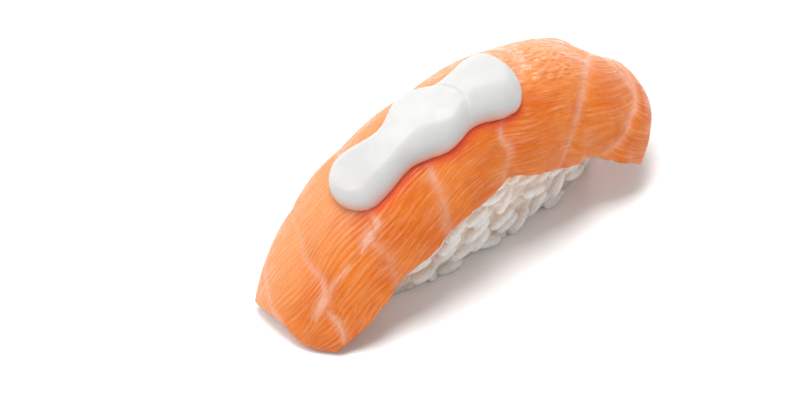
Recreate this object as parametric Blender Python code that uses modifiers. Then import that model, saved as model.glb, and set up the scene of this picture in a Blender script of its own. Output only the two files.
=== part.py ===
"""Salmon sushi: a pressed finger of rice under a draped slice of salmon, with a lobed ribbon of white sauce.

Sizes are in millimetres until the meshes are made. X runs along the piece, from its low end (-X) to its
wide end (+X); -Y is the front, where the rice shows below the salmon; Z is up from the floor.
"""

import math

import bmesh
import bpy
import numpy as np

MM = 0.001

# The slice is measured over its curve: u runs along it from the low end (0) to the wide end (1), and v
# across it from the front edge (-1) over the ridge (0) to the back edge (1). Stations are evenly spaced.
SLICE_LENGTH = 95.0
RIDGE_SLOPE = (55, 42, 32, 9, -10, -25, -33)  # degrees along the ridge
FRONT_WIDTH = (14.2, 17.1, 19.5, 20.0, 20.9, 22.1, 22.8)  # from the ridge to the front edge
BACK_WIDTH = (6.7, 17.1, 19.0, 21.6, 22.3)
FRONT_WAVE = (-0.2, 1.0, 0.7, -0.2, 0.3, -0.1, 0.2, 0.2, -0.9, 0.4, 0.8, 0.1, -1.4, -0.2, 0)  # the uneven cut
FRONT_FOLD = (41, 60, 74, 78, 64)  # degrees that the slice turns down by its front edge
BACK_FOLD = (37, 64, 86, 74, 48)
RIDGE_ROLL = (-2.8, 0.0, -2.9)
LOW_END = (0.0, -0.012, -0.012, -0.003, -0.002, -0.004, -0.007, -0.011, -0.014)  # as u, front to back
WIDE_END = (1.0, 1.032, 1.057, 1.068, 1.062, 1.04, 1.02, 1.0, 0.99)
THICKNESS = 4.2
EDGE_THICKNESS = 0.9
EDGE_TAPER = 9.0  # how far in from its edges the slice reaches its full thickness
SLICE_LIFT = 0.1  # room below the slice's lowest corner

# Lines of fat across the slice, each as u from the front edge to the back edge. The muscle swells between.
FAT_LINES = (
    (0.035, 0.100, 0.130, 0.170, 0.170),
    (0.190, 0.242, 0.300, 0.330, 0.330),
    (0.345, 0.405, 0.470, 0.520, 0.520),
    (0.555, 0.602, 0.730, 0.800, 0.800),
    (0.732, 0.822, 0.935, 0.940, 0.910),
    (0.880, 0.990, 1.030, 0.990, 0.960),
)
BAND_STEPS = (4, 5, 5, 7, 7, 5, 3)
WIDTH_STEPS = 22
MUSCLE_SWELL = 0.45
DENT = (0.8, 0.962, 0.42, 0.03, 0.4)  # depth of the dip by the wide end, its place in u and v and its reach

# The rice: a loaf that stands on a flat foot, its grains laid in rows round the wall.
LOAF_X = 1.4
LOAF_HALF_LENGTH = 33.0
LOAF_HALF_WIDTH = 9.7
LOAF_PLAN_POWER = 2.6
LOAF_LEAN = 1.6  # how much further out the wall stands at its top
LOAF_HEIGHT = 31.0
LOAF_END_HEIGHT = 8.0
LOAF_SIDES = 44
WALL_RINGS = 4
TOP_RINGS = 4
WALL_SHARE = 0.86  # part of the height at which the wall rounds over
SLICE_REACH = 1.3  # the loaf's top clears everything of the slice this near
SLICE_GAP = 0.4
FOOT_DEPTH = 1.0  # cut off below the floor
GRAIN_LENGTH = 6.0
GRAIN_WIDTH = 2.35
GRAIN_SIDES = 5
GRAIN_RINGS = ((-0.47, 0.24), (-0.2, 0.5), (0.2, 0.5), (0.47, 0.24))  # a grain's x and radius, for length 1
GRAIN_ROW = 2.9
GRAIN_PITCH = 6.5
GRAIN_TILT = 0.65
GRAIN_HEEL = 0.2
GRAIN_CLEARANCE = 0.8
FIRST_ROW = 0.9
DROPS = (0.0, 1.0, 2.0)  # how far a grain is lowered where it would meet the slice
SEED = 41

# The sauce: a lobed ribbon laid on the ridge. Its edges are v, front and back, from the low end on.
SAUCE_FROM, SAUCE_TO = 0.2495, 0.682
SAUCE_CAP = 0.055  # length of each rounded end, along u
SAUCE_FRONT = (-0.266, -0.327, -0.322, -0.428, -0.392, -0.448, -0.349)
SAUCE_BACK = (0.317, 0.275, 0.109, 0.244, 0.116, 0.179, 0.192)
SAUCE_GAP = 0.35
SAUCE_STEPS = 26
CAP_STEPS = 6
SAUCE_RINGS = 6
# Each lobe's height, where along the ribbon it starts, stands highest and ends, and how squarely it does.
NEAR_LOBE = (3.3, -0.175, 0.155, 0.485, 4.0, 4.0)
MIDDLE_LOBE = (4.3, 0.10, 0.44, 0.725, 2.2, 6.0)
FAR_LOBE = (4.5, 0.53, 0.86, 1.19, 2.2, 2.2)
LOBE_BOW = 0.083  # how far a lobe's rounded end reaches on at its middle line

SALMON_COLOUR = (0.82, 0.25, 0.06)
RICE_COLOUR = (0.66, 0.60, 0.54)
SAUCE_COLOUR = (0.84, 0.83, 0.81)


def smooth(stations, t):
    """A smooth curve through evenly spaced stations, going straight on beyond the first and last."""
    k = np.asarray(stations, float)
    last = len(k) - 1
    s = np.clip(t, 0, 1) * last
    i = np.clip(np.floor(s).astype(int), 0, last - 1)
    f = s - i
    p = np.concatenate([[2 * k[0] - k[1]], k, [2 * k[-1] - k[-2]]])
    a, b, c, d = p[i], p[i + 1], p[i + 2], p[i + 3]
    inside = b + 0.5 * f * (c - a + f * (2 * a - 5 * b + 4 * c - d + f * (3 * (b - c) + d - a)))
    before = np.minimum(t, 0) * (k[1] - k[0]) * last
    after = np.maximum(t - 1, 0) * (k[-1] - k[-2]) * last
    return inside + before + after


def ridge_line():
    """The ridge as u, x, z and its slope in radians."""
    u = np.linspace(-0.1, 1.12, 245)
    slope = np.radians(smooth(RIDGE_SLOPE, u))
    mean = (slope[1:] + slope[:-1]) / 2
    step = (u[1] - u[0]) * SLICE_LENGTH
    x = np.concatenate([[0], np.cumsum(np.cos(mean))]) * step
    z = np.concatenate([[0], np.cumsum(np.sin(mean))]) * step
    middle = (np.interp(0, u, x) + np.interp(1, u, x)) / 2
    return u, x - middle, z, slope


RIDGE = ridge_line()


def half_width(u, v):
    return np.where(v < 0, smooth(FRONT_WIDTH, u) + smooth(FRONT_WAVE, u), smooth(BACK_WIDTH, u))


def drape(u, v, out=0.0, lift=0.0):
    """Points of the draped slice, the given distance out from its smooth top."""
    ridge_u, ridge_x, ridge_z, ridge_slope = RIDGE
    slope = np.interp(u, ridge_u, ridge_slope)
    fold = np.radians(np.where(v < 0, smooth(FRONT_FOLD, u), smooth(BACK_FOLD, u)))
    roll = np.radians(smooth(RIDGE_ROLL, u))
    radius = half_width(u, v) / fold
    turn = fold * v + roll
    y = radius * (np.sin(turn) - np.sin(roll)) + out * np.sin(turn)
    rise = radius * (np.cos(turn) - np.cos(roll)) + out * np.cos(turn)
    x = np.interp(u, ridge_u, ridge_x) - rise * np.sin(slope)
    z = np.interp(u, ridge_u, ridge_z) + rise * np.cos(slope)
    return np.stack([x, y, z + lift], -1)


def band_marks(v):
    """The low end, each line of fat and the wide end, as u."""
    t = (np.asarray(v) + 1) / 2
    return [smooth(line, t) for line in (LOW_END, *FAT_LINES, WIDE_END)]


def muscle_swell(t):
    """How far the muscle swells, t of the way from one line of fat to the next."""
    return MUSCLE_SWELL * (4 * t * (1 - t)) ** 0.6


def dent_at(u, v):
    """How far the slice sags between two muscles by its wide end."""
    depth, middle_u, middle_v, reach_u, reach_v = DENT
    return depth * np.exp(-(((u - middle_u) / reach_u) ** 2) - ((v - middle_v) / reach_v) ** 2)


def swell_at(u, v):
    marks = band_marks(v)
    bands = [muscle_swell(np.clip((u - a) / (b - a), 0, 1)) for a, b in zip(marks, marks[1:])]
    return np.max(bands, axis=0) - dent_at(u, v)


def slice_grid():
    """u, v and the muscle's swell on a grid whose columns run along the lines of fat."""
    v = np.linspace(-1, 1, WIDTH_STEPS + 1)
    marks = band_marks(v)
    rows, swell = [marks[0][None]], [np.zeros((1, len(v)))]
    for near, far, steps in zip(marks, marks[1:], BAND_STEPS):
        t = np.linspace(0, 1, steps + 1)[1:, None]
        rows.append(near + (far - near) * t)
        swell.append(muscle_swell(t) * np.ones_like(v))
    u = np.concatenate(rows)
    return u, np.broadcast_to(v, u.shape), np.concatenate(swell) - dent_at(u, v)


def edge_distance(u, v):
    """How far a point lies in from the slice's nearest edge, over the curve."""
    t = (v + 1) / 2
    ends = np.minimum(u - smooth(LOW_END, t), smooth(WIDE_END, t) - u)
    return np.minimum((1 - np.abs(v)) * half_width(u, v), ends * SLICE_LENGTH)


def thickness(u, v):
    rise = np.clip(edge_distance(u, v) / EDGE_TAPER, 0, 1)
    return EDGE_THICKNESS + (THICKNESS - EDGE_THICKNESS) * np.sqrt(1 - (1 - rise) ** 2)


def floor_lift():
    """What puts the slice's lowest corner just off the floor."""
    u, v, swell = slice_grid()
    return SLICE_LIFT - drape(u, v, swell - thickness(u, v))[..., 2].min()


LIFT = floor_lift()


def underside():
    """Points spread over the slice's underside."""
    v, u = np.meshgrid(np.linspace(-1, 1, 121), np.linspace(-0.02, 1.07, 241))
    inside = edge_distance(u, v) > 0
    u, v = u[inside], v[inside]
    return drape(u, v, swell_at(u, v) - thickness(u, v), LIFT)


def finish(name, colour, roughness):
    made = bpy.data.materials.new(name)
    made.use_nodes = True
    shader = made.node_tree.nodes["Principled BSDF"]
    shader.inputs["Base Color"].default_value = (*colour, 1)
    shader.inputs["Roughness"].default_value = roughness
    shader.inputs["Metallic"].default_value = 0
    made.diffuse_color = (*colour, 1)
    return made


def add_object(name, points, faces, collection, look=None):
    mesh = bpy.data.meshes.new(name)
    mesh.from_pydata((np.asarray(points) * MM).tolist(), [], [tuple(map(int, face)) for face in faces])
    made = bpy.data.objects.new(name, mesh)
    collection.objects.link(made)
    if look:
        mesh.materials.append(look)
    return made


def grid_faces(rows, columns, closed=False):
    faces = []
    for i in range(rows - 1):
        for j in range(columns if closed else columns - 1):
            k = (j + 1) % columns
            faces.append((i * columns + j, (i + 1) * columns + j, (i + 1) * columns + k, i * columns + k))
    return faces


def sew(obj):
    """Joins points that coincide and turns the faces outwards."""
    bm = bmesh.new()
    bm.from_mesh(obj.data)
    bmesh.ops.remove_doubles(bm, verts=bm.verts, dist=0.02 * MM)
    bmesh.ops.recalc_face_normals(bm, faces=bm.faces)
    bm.to_mesh(obj.data)
    bm.free()


def apply_modifiers(obj):
    graph = bpy.context.evaluated_depsgraph_get()
    mesh = bpy.data.meshes.new_from_object(obj.evaluated_get(graph))
    obj.modifiers.clear()
    obj.data = mesh


def joined_to(first):
    """The faces that can be reached from this one."""
    found, todo = {first}, [first]
    while todo:
        for edge in todo.pop().edges:
            for face in edge.link_faces:
                if face not in found:
                    found.add(face)
                    todo.append(face)
    return found


def keep_body(obj):
    """Leaves only the outer surface, so hollows shut in between grains are filled and scraps dropped."""
    bm = bmesh.new()
    bm.from_mesh(obj.data)
    left, bodies = set(bm.faces), []
    while left:
        bodies.append(joined_to(next(iter(left))))
        left -= bodies[-1]
    bodies.sort(key=len)
    scraps = [face for body in bodies[:-1] for face in body]
    bmesh.ops.delete(bm, geom=scraps, context="FACES")
    bm.to_mesh(obj.data)
    bm.free()


def build_salmon(collection):
    """The slice: its top as an open surface, thickened inwards and thinner towards its edges."""
    u, v, swell = slice_grid()
    points = drape(u, v, swell, LIFT).reshape(-1, 3)
    look = finish("salmon", SALMON_COLOUR, 0.35)
    salmon = add_object("salmon", points, grid_faces(*u.shape), collection, look)
    group = salmon.vertex_groups.new(name="thickness")
    for i, share in enumerate((thickness(u, v) / THICKNESS).ravel()):
        group.add([i], float(share), "REPLACE")
    shell = salmon.modifiers.new("slice", "SOLIDIFY")
    shell.thickness = THICKNESS * MM
    shell.offset = -1
    shell.vertex_group = group.name
    apply_modifiers(salmon)
    return salmon


def ribbon_side(side):
    """One edge of the ribbon from its low end on: its u, v, and the point of the middle line inside each."""
    turns = [math.radians(90 * i / CAP_STEPS) for i in range(CAP_STEPS)]
    low, wide = SAUCE_FROM + SAUCE_CAP, SAUCE_TO - SAUCE_CAP
    edge = [(low - SAUCE_CAP * math.cos(turn), low, math.sin(turn)) for turn in turns]
    for i in range(SAUCE_STEPS + 1):
        u = low + (wide - low) * i / SAUCE_STEPS
        edge.append((u, u, 1.0))
    edge += [(wide + SAUCE_CAP * math.cos(turn), wide, math.sin(turn)) for turn in reversed(turns)]
    u, middle_u, reach = np.array(edge).T
    t = (middle_u - SAUCE_FROM) / (SAUCE_TO - SAUCE_FROM)
    front, back = smooth(SAUCE_FRONT, t), smooth(SAUCE_BACK, t)
    middle_v = (front + back) / 2
    return u, middle_v + side * reach * (back - front) / 2, middle_u, middle_v


def lobe_height(t, height, start, middle, end, rise, fall):
    before = np.clip((middle - t) / (middle - start), 0, 1) ** rise
    after = np.clip((t - middle) / (end - middle), 0, 1) ** fall
    return height * (1 - before - after) ** 0.42


def crest(t, across):
    """The lobes' height along the ribbon; a crease is left where the middle lobe ends on the far one."""
    bowed = t + LOBE_BOW * (across + 0.1) ** 2
    near, middle = lobe_height(bowed, *NEAR_LOBE), lobe_height(bowed, *MIDDLE_LOBE)
    return np.maximum((near**7 + middle**7) ** (1 / 7), lobe_height(t, *FAR_LOBE))


def build_sauce(collection):
    """The ribbon: domed rings from its edge up to its middle line, over a foot that follows the slice."""
    front, back = ribbon_side(-1), ribbon_side(1)
    u, v, middle_u, middle_v = (np.concatenate([a[:-1], b[:0:-1]]) for a, b in zip(front, back))
    across = np.where(v > middle_v, 1.0, -1.0)
    top, foot = [], []
    for k in range(SAUCE_RINGS + 1):
        turn = math.radians(90 * k / SAUCE_RINGS)
        ring_u = middle_u + (u - middle_u) * math.sin(turn)
        ring_v = middle_v + (v - middle_v) * math.sin(turn)
        t = (ring_u - SAUCE_FROM) / (SAUCE_TO - SAUCE_FROM)
        swell, out = swell_at(ring_u, ring_v), max(1 - math.sin(turn) ** 3, 0)
        dome = crest(t, across * math.sin(turn)) * out**0.55 + (MUSCLE_SWELL - swell) * min(4 * out, 1)
        foot.append(drape(ring_u, ring_v, swell + SAUCE_GAP, LIFT))
        top.append(drape(ring_u, ring_v, swell + SAUCE_GAP + dome, LIFT))
    faces = grid_faces(SAUCE_RINGS + 1, len(u), closed=True)
    below = (SAUCE_RINGS + 1) * len(u)
    faces += [tuple(below + i for i in reversed(face)) for face in faces]
    look = finish("sauce", SAUCE_COLOUR, 0.3)
    sauce = add_object("sauce", np.concatenate(top + foot), faces, collection, look)
    sew(sauce)
    return sauce


def loaf_plan(lean=0.0, inwards=1.0):
    """The loaf's outline from above, with its sides leant out, or drawn in towards its middle."""
    turn = np.linspace(0, 2 * math.pi, LOAF_SIDES, endpoint=False)
    c, s = np.cos(turn), np.sin(turn)
    power = 2 / LOAF_PLAN_POWER
    x = LOAF_HALF_LENGTH * np.sign(c) * np.abs(c) ** power
    y = (LOAF_HALF_WIDTH + lean) * np.sign(s) * np.abs(s) ** power
    return np.stack([LOAF_X + x * inwards, y * inwards], -1)


def loaf_top(plan, below_slice):
    """The height of the loaf's top: a dome, kept under the slice."""
    along = np.clip(np.abs(plan[:, 0] - LOAF_X) / LOAF_HALF_LENGTH, 0, 1)
    dome = LOAF_END_HEIGHT + (LOAF_HEIGHT - LOAF_END_HEIGHT) * np.sqrt(1 - along**2)
    away = np.linalg.norm(plan[:, None] - below_slice[None, :, :2], axis=-1)
    slice_z = np.where(away < SLICE_REACH, below_slice[None, :, 2], np.inf).min(axis=1)
    return np.minimum(dome, slice_z - SLICE_GAP)


def build_loaf(collection, below_slice):
    """The bare loaf, with the height of its wall round the outline."""
    brim = loaf_top(loaf_plan(LOAF_LEAN), below_slice)
    rings = []
    for k in range(WALL_RINGS + 1):
        f = k / WALL_RINGS
        z = -FOOT_DEPTH + (brim * WALL_SHARE + FOOT_DEPTH) * f
        rings.append(np.column_stack([loaf_plan(LOAF_LEAN * f * f), z]))
    for k in range(1, TOP_RINGS):
        plan = loaf_plan(LOAF_LEAN, math.cos(math.radians(90 * k / TOP_RINGS)))
        rings.append(np.column_stack([plan, loaf_top(plan, below_slice)]))
    centre = np.array([[LOAF_X, 0.0]])
    peak, heel = np.append(centre, loaf_top(centre, below_slice)), (LOAF_X, 0, -FOOT_DEPTH)
    faces = grid_faces(len(rings), LOAF_SIDES, closed=True)
    last, count = (len(rings) - 1) * LOAF_SIDES, len(rings) * LOAF_SIDES
    for j in range(LOAF_SIDES):
        k = (j + 1) % LOAF_SIDES
        faces += [(last + j, count, last + k), (j, k, count + 1)]
    look = finish("rice", RICE_COLOUR, 0.5)
    loaf = add_object("rice", np.vstack([*rings, peak, heel]), faces, collection, look)
    sew(loaf)
    return loaf, brim


def grain_shape():
    """A plump grain with few sides, of length and width 1, that lies along X."""
    points, faces = [], []
    for i, (x, radius) in enumerate(GRAIN_RINGS):
        for j in range(GRAIN_SIDES):
            a = 2 * math.pi * (j + 0.5 * (i % 2)) / GRAIN_SIDES
            points.append((x, radius * math.cos(a), radius * math.sin(a)))
    rings = [range(i * GRAIN_SIDES, (i + 1) * GRAIN_SIDES) for i in range(len(GRAIN_RINGS))]
    for i, (low, high) in enumerate(zip(rings, rings[1:])):
        for j in range(GRAIN_SIDES):
            k, back = (j + 1) % GRAIN_SIDES, i % 2
            faces.append((low[j], low[k], high[j if not back else k]))
            faces.append((low[k] if not back else low[j], high[k], high[j]))
    faces += [tuple(reversed(rings[0])), tuple(rings[-1])]
    return np.array(points), faces


def meets_slice(points, below_slice):
    """Whether any point comes too near the slice's underside or stands above it."""
    away = points[:, None] - below_slice[None]
    near = np.linalg.norm(away, axis=-1) < GRAIN_CLEARANCE
    above = (np.hypot(away[..., 0], away[..., 1]) < 1) & (away[..., 2] > -GRAIN_CLEARANCE)
    return bool((near | above).any())


def wall_places(brim, rng):
    """Where each grain goes: its middle on the wall, the way along the wall and the way out of it."""
    foot = loaf_plan()
    loop = np.vstack([foot, foot[:1]])
    run = np.concatenate([[0], np.cumsum(np.linalg.norm(np.diff(loop, axis=0), axis=1))])
    per_row = round(run[-1] / GRAIN_PITCH)
    for row in range(math.ceil(brim.max() / GRAIN_ROW)):
        for i in range(per_row):
            at = (i + 0.5 * (row % 2) + rng.uniform(-0.14, 0.14)) % per_row * run[-1] / per_row
            z = FIRST_ROW + GRAIN_ROW * (row + rng.uniform(-0.15, 0.15))
            k = np.searchsorted(run, at, side="right") - 1
            f = (at - run[k]) / (run[k + 1] - run[k])
            top = WALL_SHARE * (brim[k] * (1 - f) + brim[(k + 1) % LOAF_SIDES] * f)
            if z > top:
                continue
            x, y = loop[k] * (1 - f) + loop[k + 1] * f
            along = np.append(loop[k + 1] - loop[k], 0.0)
            along /= np.linalg.norm(along)
            outward = np.array([along[1], -along[0], 0.0])
            leant = y * (1 + LOAF_LEAN / LOAF_HALF_WIDTH * (z / top) ** 2)
            yield np.array([x, leant, z]), along, outward


def lay_grains(brim, below_slice, collection):
    """Lays the grains in rows against the wall, each turned and sunk in a little differently."""
    rng = np.random.default_rng(SEED)
    shape, faces = grain_shape()
    for spot, along, outward in wall_places(brim, rng):
        tilt, heel = rng.uniform(-GRAIN_TILT, GRAIN_TILT), rng.uniform(-GRAIN_HEEL, GRAIN_HEEL)
        axis = along * math.cos(tilt) + np.array([0, 0, math.sin(tilt)]) + outward * heel
        axis /= np.linalg.norm(axis)
        third = np.cross(axis, outward)
        third /= np.linalg.norm(third)
        size = np.array([GRAIN_LENGTH, GRAIN_WIDTH, GRAIN_WIDTH]) * rng.uniform(0.88, 1.1, 3)
        middle = spot + outward * GRAIN_WIDTH * rng.uniform(0.1, 0.4)
        for drop in DROPS:
            points = shape * size @ np.stack([axis, np.cross(third, axis), third]) + middle - (0, 0, drop)
            if not meets_slice(points, below_slice):
                add_object("grain", points, faces, collection)
                break


def add_boolean(obj, name, operation):
    """A Boolean by the solver that takes this many small pieces at once."""
    made = obj.modifiers.new(name, "BOOLEAN")
    made.operation = operation
    made.solver = "MANIFOLD"
    return made


def build_rice(collection, cutters):
    """The loaf with its grains fused on, cut flat at the floor."""
    below_slice = underside()
    rice, brim = build_loaf(collection, below_slice)
    grains = bpy.data.collections.new("grains")
    bpy.context.scene.collection.children.link(grains)
    lay_grains(brim, below_slice, grains)
    join = add_boolean(rice, "grains", "UNION")
    join.operand_type = "COLLECTION"
    join.collection = grains
    apply_modifiers(rice)
    for grain in list(grains.objects):
        bpy.data.objects.remove(grain)
    bpy.data.collections.remove(grains)
    bpy.ops.mesh.primitive_cube_add(size=1, location=(0, 0, -5 * MM), scale=(0.12, 0.06, 10 * MM))
    block = bpy.context.active_object
    block.name = "below_floor"
    for home in list(block.users_collection):
        home.objects.unlink(block)
    cutters.objects.link(block)
    block.hide_render = True
    block.display_type = "WIRE"
    add_boolean(rice, "floor", "DIFFERENCE").object = block
    apply_modifiers(rice)
    keep_body(rice)
    return rice


def centre_on_origin(nodes):
    """Moves the nodes so that the middle of their box stands over the origin."""
    spots = np.array([point.co for obj in nodes for point in obj.data.vertices])
    middle = (spots.max(axis=0) + spots.min(axis=0)) / 2
    for obj in nodes:
        for point in obj.data.vertices:
            point.co.x -= middle[0]
            point.co.y -= middle[1]


def main():
    for old in list(bpy.data.objects):
        bpy.data.objects.remove(old)
    collection = bpy.data.collections.new("salmon_sushi")
    cutters = bpy.data.collections.new("cutters")
    for made in (collection, cutters):
        bpy.context.scene.collection.children.link(made)
    nodes = (build_salmon(collection), build_sauce(collection), build_rice(collection, cutters))
    centre_on_origin(nodes)
    for obj in nodes:
        for face in obj.data.polygons:
            face.use_smooth = True


main()
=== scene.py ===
"""Salmon sushi: a finger of pressed rice under a draped slice of salmon, with a lobed ribbon of white sauce.

Sizes are in millimetres until the meshes are made. The lights' sizes and distances are in metres. X runs
along the piece from its low end to its wide end, -Y is the front, where the rice shows below the salmon,
and Z is up from the floor. A place on the slice is u, from the low end (0) to the wide end (1), and v, from
the front edge (-1) over the ridge (0) to the back edge (1).
"""

import logging
import math
from collections.abc import Iterator, Sequence
from dataclasses import dataclass, field
from enum import Enum

import bpy
import numpy as np
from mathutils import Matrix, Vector
from mathutils.bvhtree import BVHTree
from mathutils.kdtree import KDTree


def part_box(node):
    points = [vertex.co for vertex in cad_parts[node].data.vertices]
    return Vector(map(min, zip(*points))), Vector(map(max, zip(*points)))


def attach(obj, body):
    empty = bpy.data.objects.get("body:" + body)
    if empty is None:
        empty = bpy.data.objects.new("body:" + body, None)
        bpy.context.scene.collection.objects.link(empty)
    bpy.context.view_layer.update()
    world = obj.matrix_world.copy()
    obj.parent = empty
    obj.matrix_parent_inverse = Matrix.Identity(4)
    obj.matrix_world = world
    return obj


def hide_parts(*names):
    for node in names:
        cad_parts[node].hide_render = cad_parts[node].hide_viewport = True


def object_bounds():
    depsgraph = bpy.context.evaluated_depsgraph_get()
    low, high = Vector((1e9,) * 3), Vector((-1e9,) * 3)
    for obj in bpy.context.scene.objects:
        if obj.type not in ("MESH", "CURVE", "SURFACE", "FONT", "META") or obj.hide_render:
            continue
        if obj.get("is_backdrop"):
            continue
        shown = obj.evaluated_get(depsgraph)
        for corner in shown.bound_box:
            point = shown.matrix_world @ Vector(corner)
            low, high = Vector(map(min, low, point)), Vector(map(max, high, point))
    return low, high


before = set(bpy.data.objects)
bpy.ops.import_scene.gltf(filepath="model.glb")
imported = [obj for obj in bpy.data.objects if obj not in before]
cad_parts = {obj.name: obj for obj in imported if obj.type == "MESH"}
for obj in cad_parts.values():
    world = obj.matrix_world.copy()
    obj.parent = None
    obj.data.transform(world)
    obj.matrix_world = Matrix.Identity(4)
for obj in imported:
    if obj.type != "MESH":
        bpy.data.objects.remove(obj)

MM = 0.001
CAD_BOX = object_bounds()

Colour = tuple[float, float, float]
Faces = list[tuple[int, ...]]
Socket = bpy.types.NodeSocket
log = logging.getLogger("salmon_sushi")


# ---------------------------------------------------------------- curves, ripples and meshes


def smooth(stations: Sequence[float], t: np.ndarray) -> np.ndarray:
    """A smooth curve through evenly spaced stations, going straight on beyond the first and last.

    Args:
        stations: The values to pass through.
        t: Where to read the curve, 0 at the first station and 1 at the last.

    Returns:
        The curve's value at each t.
    """
    k = np.asarray(stations, float)
    t = np.asarray(t, float)
    last = len(k) - 1
    s = np.clip(t, 0, 1) * last
    i = np.clip(np.floor(s).astype(int), 0, last - 1)
    f = s - i
    p = np.concatenate([[2 * k[0] - k[1]], k, [2 * k[-1] - k[-2]]])
    a, b, c, d = p[i], p[i + 1], p[i + 2], p[i + 3]
    inside = b + 0.5 * f * (c - a + f * (2 * a - 5 * b + 4 * c - d + f * (3 * (b - c) + d - a)))
    before = np.minimum(t, 0) * (k[1] - k[0]) * last
    after = np.maximum(t - 1, 0) * (k[-1] - k[-2]) * last
    return inside + before + after


def fade(x: np.ndarray, low: float, high: float) -> np.ndarray:
    """A smooth step from 0 at low to 1 at high."""
    t = np.clip((np.asarray(x, float) - low) / (high - low), 0, 1)
    return t * t * (3 - 2 * t)


class Pattern(Enum):
    """The random patterns on the food, each with its seed."""

    FIBRE_BEND = 3
    WIDE_FIBRES = 11
    THIN_FIBRES = 12
    CRINKLES = 13
    FIBRE_DRIFT = 14
    FIBRE_DEPTH = 15
    FAT_EDGE = 21
    FAT_SPECKS = 22
    SAUCE_TOP = 31
    SLICE_EDGE = 41


# Large numbers that scatter a lattice point's indices and the seed into a random value.
SCATTER_X, SCATTER_Y, SCATTER_SEED, SCATTER_AGAIN = 374761393, 668265263, 974711, 1274126177
LOW_32_BITS = 0xFFFFFFFF
LOW_16_BITS = 0xFFFF


def ripple(x: np.ndarray, y: np.ndarray, pattern: Pattern) -> np.ndarray:
    """Smooth random noise from -1 to 1 over a plane, with a value of its own at each pair of whole numbers.

    Args:
        x: First coordinate.
        y: Second coordinate.
        pattern: Which pattern.

    Returns:
        The noise at each point.
    """
    x, y = np.broadcast_arrays(np.asarray(x, float), np.asarray(y, float))
    i, j = np.floor(x).astype(np.int64), np.floor(y).astype(np.int64)
    fx, fy = x - i, y - j

    def corner(a: np.ndarray, b: np.ndarray) -> np.ndarray:
        """The random value at a lattice point.

        Args:
            a: Its first index.
            b: Its second index.

        Returns:
            The value, from -1 to 1.
        """
        h = (a * SCATTER_X + b * SCATTER_Y + pattern.value * SCATTER_SEED) & LOW_32_BITS
        h = ((h ^ (h >> 13)) * SCATTER_AGAIN) & LOW_32_BITS
        return ((h ^ (h >> 16)) & LOW_16_BITS) / (LOW_16_BITS / 2) - 1

    sx, sy = fx * fx * (3 - 2 * fx), fy * fy * (3 - 2 * fy)
    low = corner(i, j) * (1 - sx) + corner(i + 1, j) * sx
    high = corner(i, j + 1) * (1 - sx) + corner(i + 1, j + 1) * sx
    return low * (1 - sy) + high * sy


def grid_faces(rows: int, columns: int, closed: bool = False, start: int = 0) -> Faces:
    """Quads over a grid of points.

    Args:
        rows: Number of rows of points.
        columns: Number of points in a row.
        closed: Whether each row is a ring.
        start: Index of the grid's first point.

    Returns:
        The quads, as indices.
    """
    faces = []
    for i in range(rows - 1):
        for j in range(columns if closed else columns - 1):
            k, a = (j + 1) % columns, start + i * columns
            faces.append((a + j, a + columns + j, a + columns + k, a + k))
    return faces


def perimeter(rows: int, columns: int) -> list[int]:
    """The indices round the edge of a grid, in order.

    Args:
        rows: Number of rows of points.
        columns: Number of points in a row.

    Returns:
        The indices, starting at the first point and going along the first row.
    """
    first = list(range(columns - 1))
    right = [i * columns + columns - 1 for i in range(rows - 1)]
    last = [(rows - 1) * columns + j for j in range(columns - 1, 0, -1)]
    left = [i * columns for i in range(rows - 1, 0, -1)]
    return first + right + last + left


def make_object(name: str, points: np.ndarray, faces: Faces) -> bpy.types.Object:
    """A smooth-shaded mesh object.

    Args:
        name: The object's name.
        points: Its points, in millimetres.
        faces: Its faces, as indices.

    Returns:
        The object, in the scene.
    """
    mesh = bpy.data.meshes.new(name)
    mesh.from_pydata((np.asarray(points) * MM).tolist(), [], faces)
    mesh.polygons.foreach_set("use_smooth", [True] * len(mesh.polygons))
    made = bpy.data.objects.new(name, mesh)
    bpy.context.scene.collection.objects.link(made)
    return made


def store(obj: bpy.types.Object, name: str, values: np.ndarray) -> None:
    """Keeps a value or a vector for each point of an object's mesh, for its material to read.

    Args:
        obj: The object.
        name: The attribute's name.
        values: One number or one vector a point.
    """
    kind, key = ("FLOAT_VECTOR", "vector") if np.ndim(values) == 2 else ("FLOAT", "value")
    kept = obj.data.attributes.new(name, kind, "POINT")
    kept.data.foreach_set(key, np.ascontiguousarray(values, np.float32).ravel())


def apply_modifiers(obj: bpy.types.Object) -> None:
    """Gives an object the mesh that its modifiers make, and takes them off.

    Args:
        obj: The object.
    """
    graph = bpy.context.evaluated_depsgraph_get()
    mesh = bpy.data.meshes.new_from_object(obj.evaluated_get(graph))
    obj.modifiers.clear()
    obj.data = mesh


# ---------------------------------------------------------------- shader nodes


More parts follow.
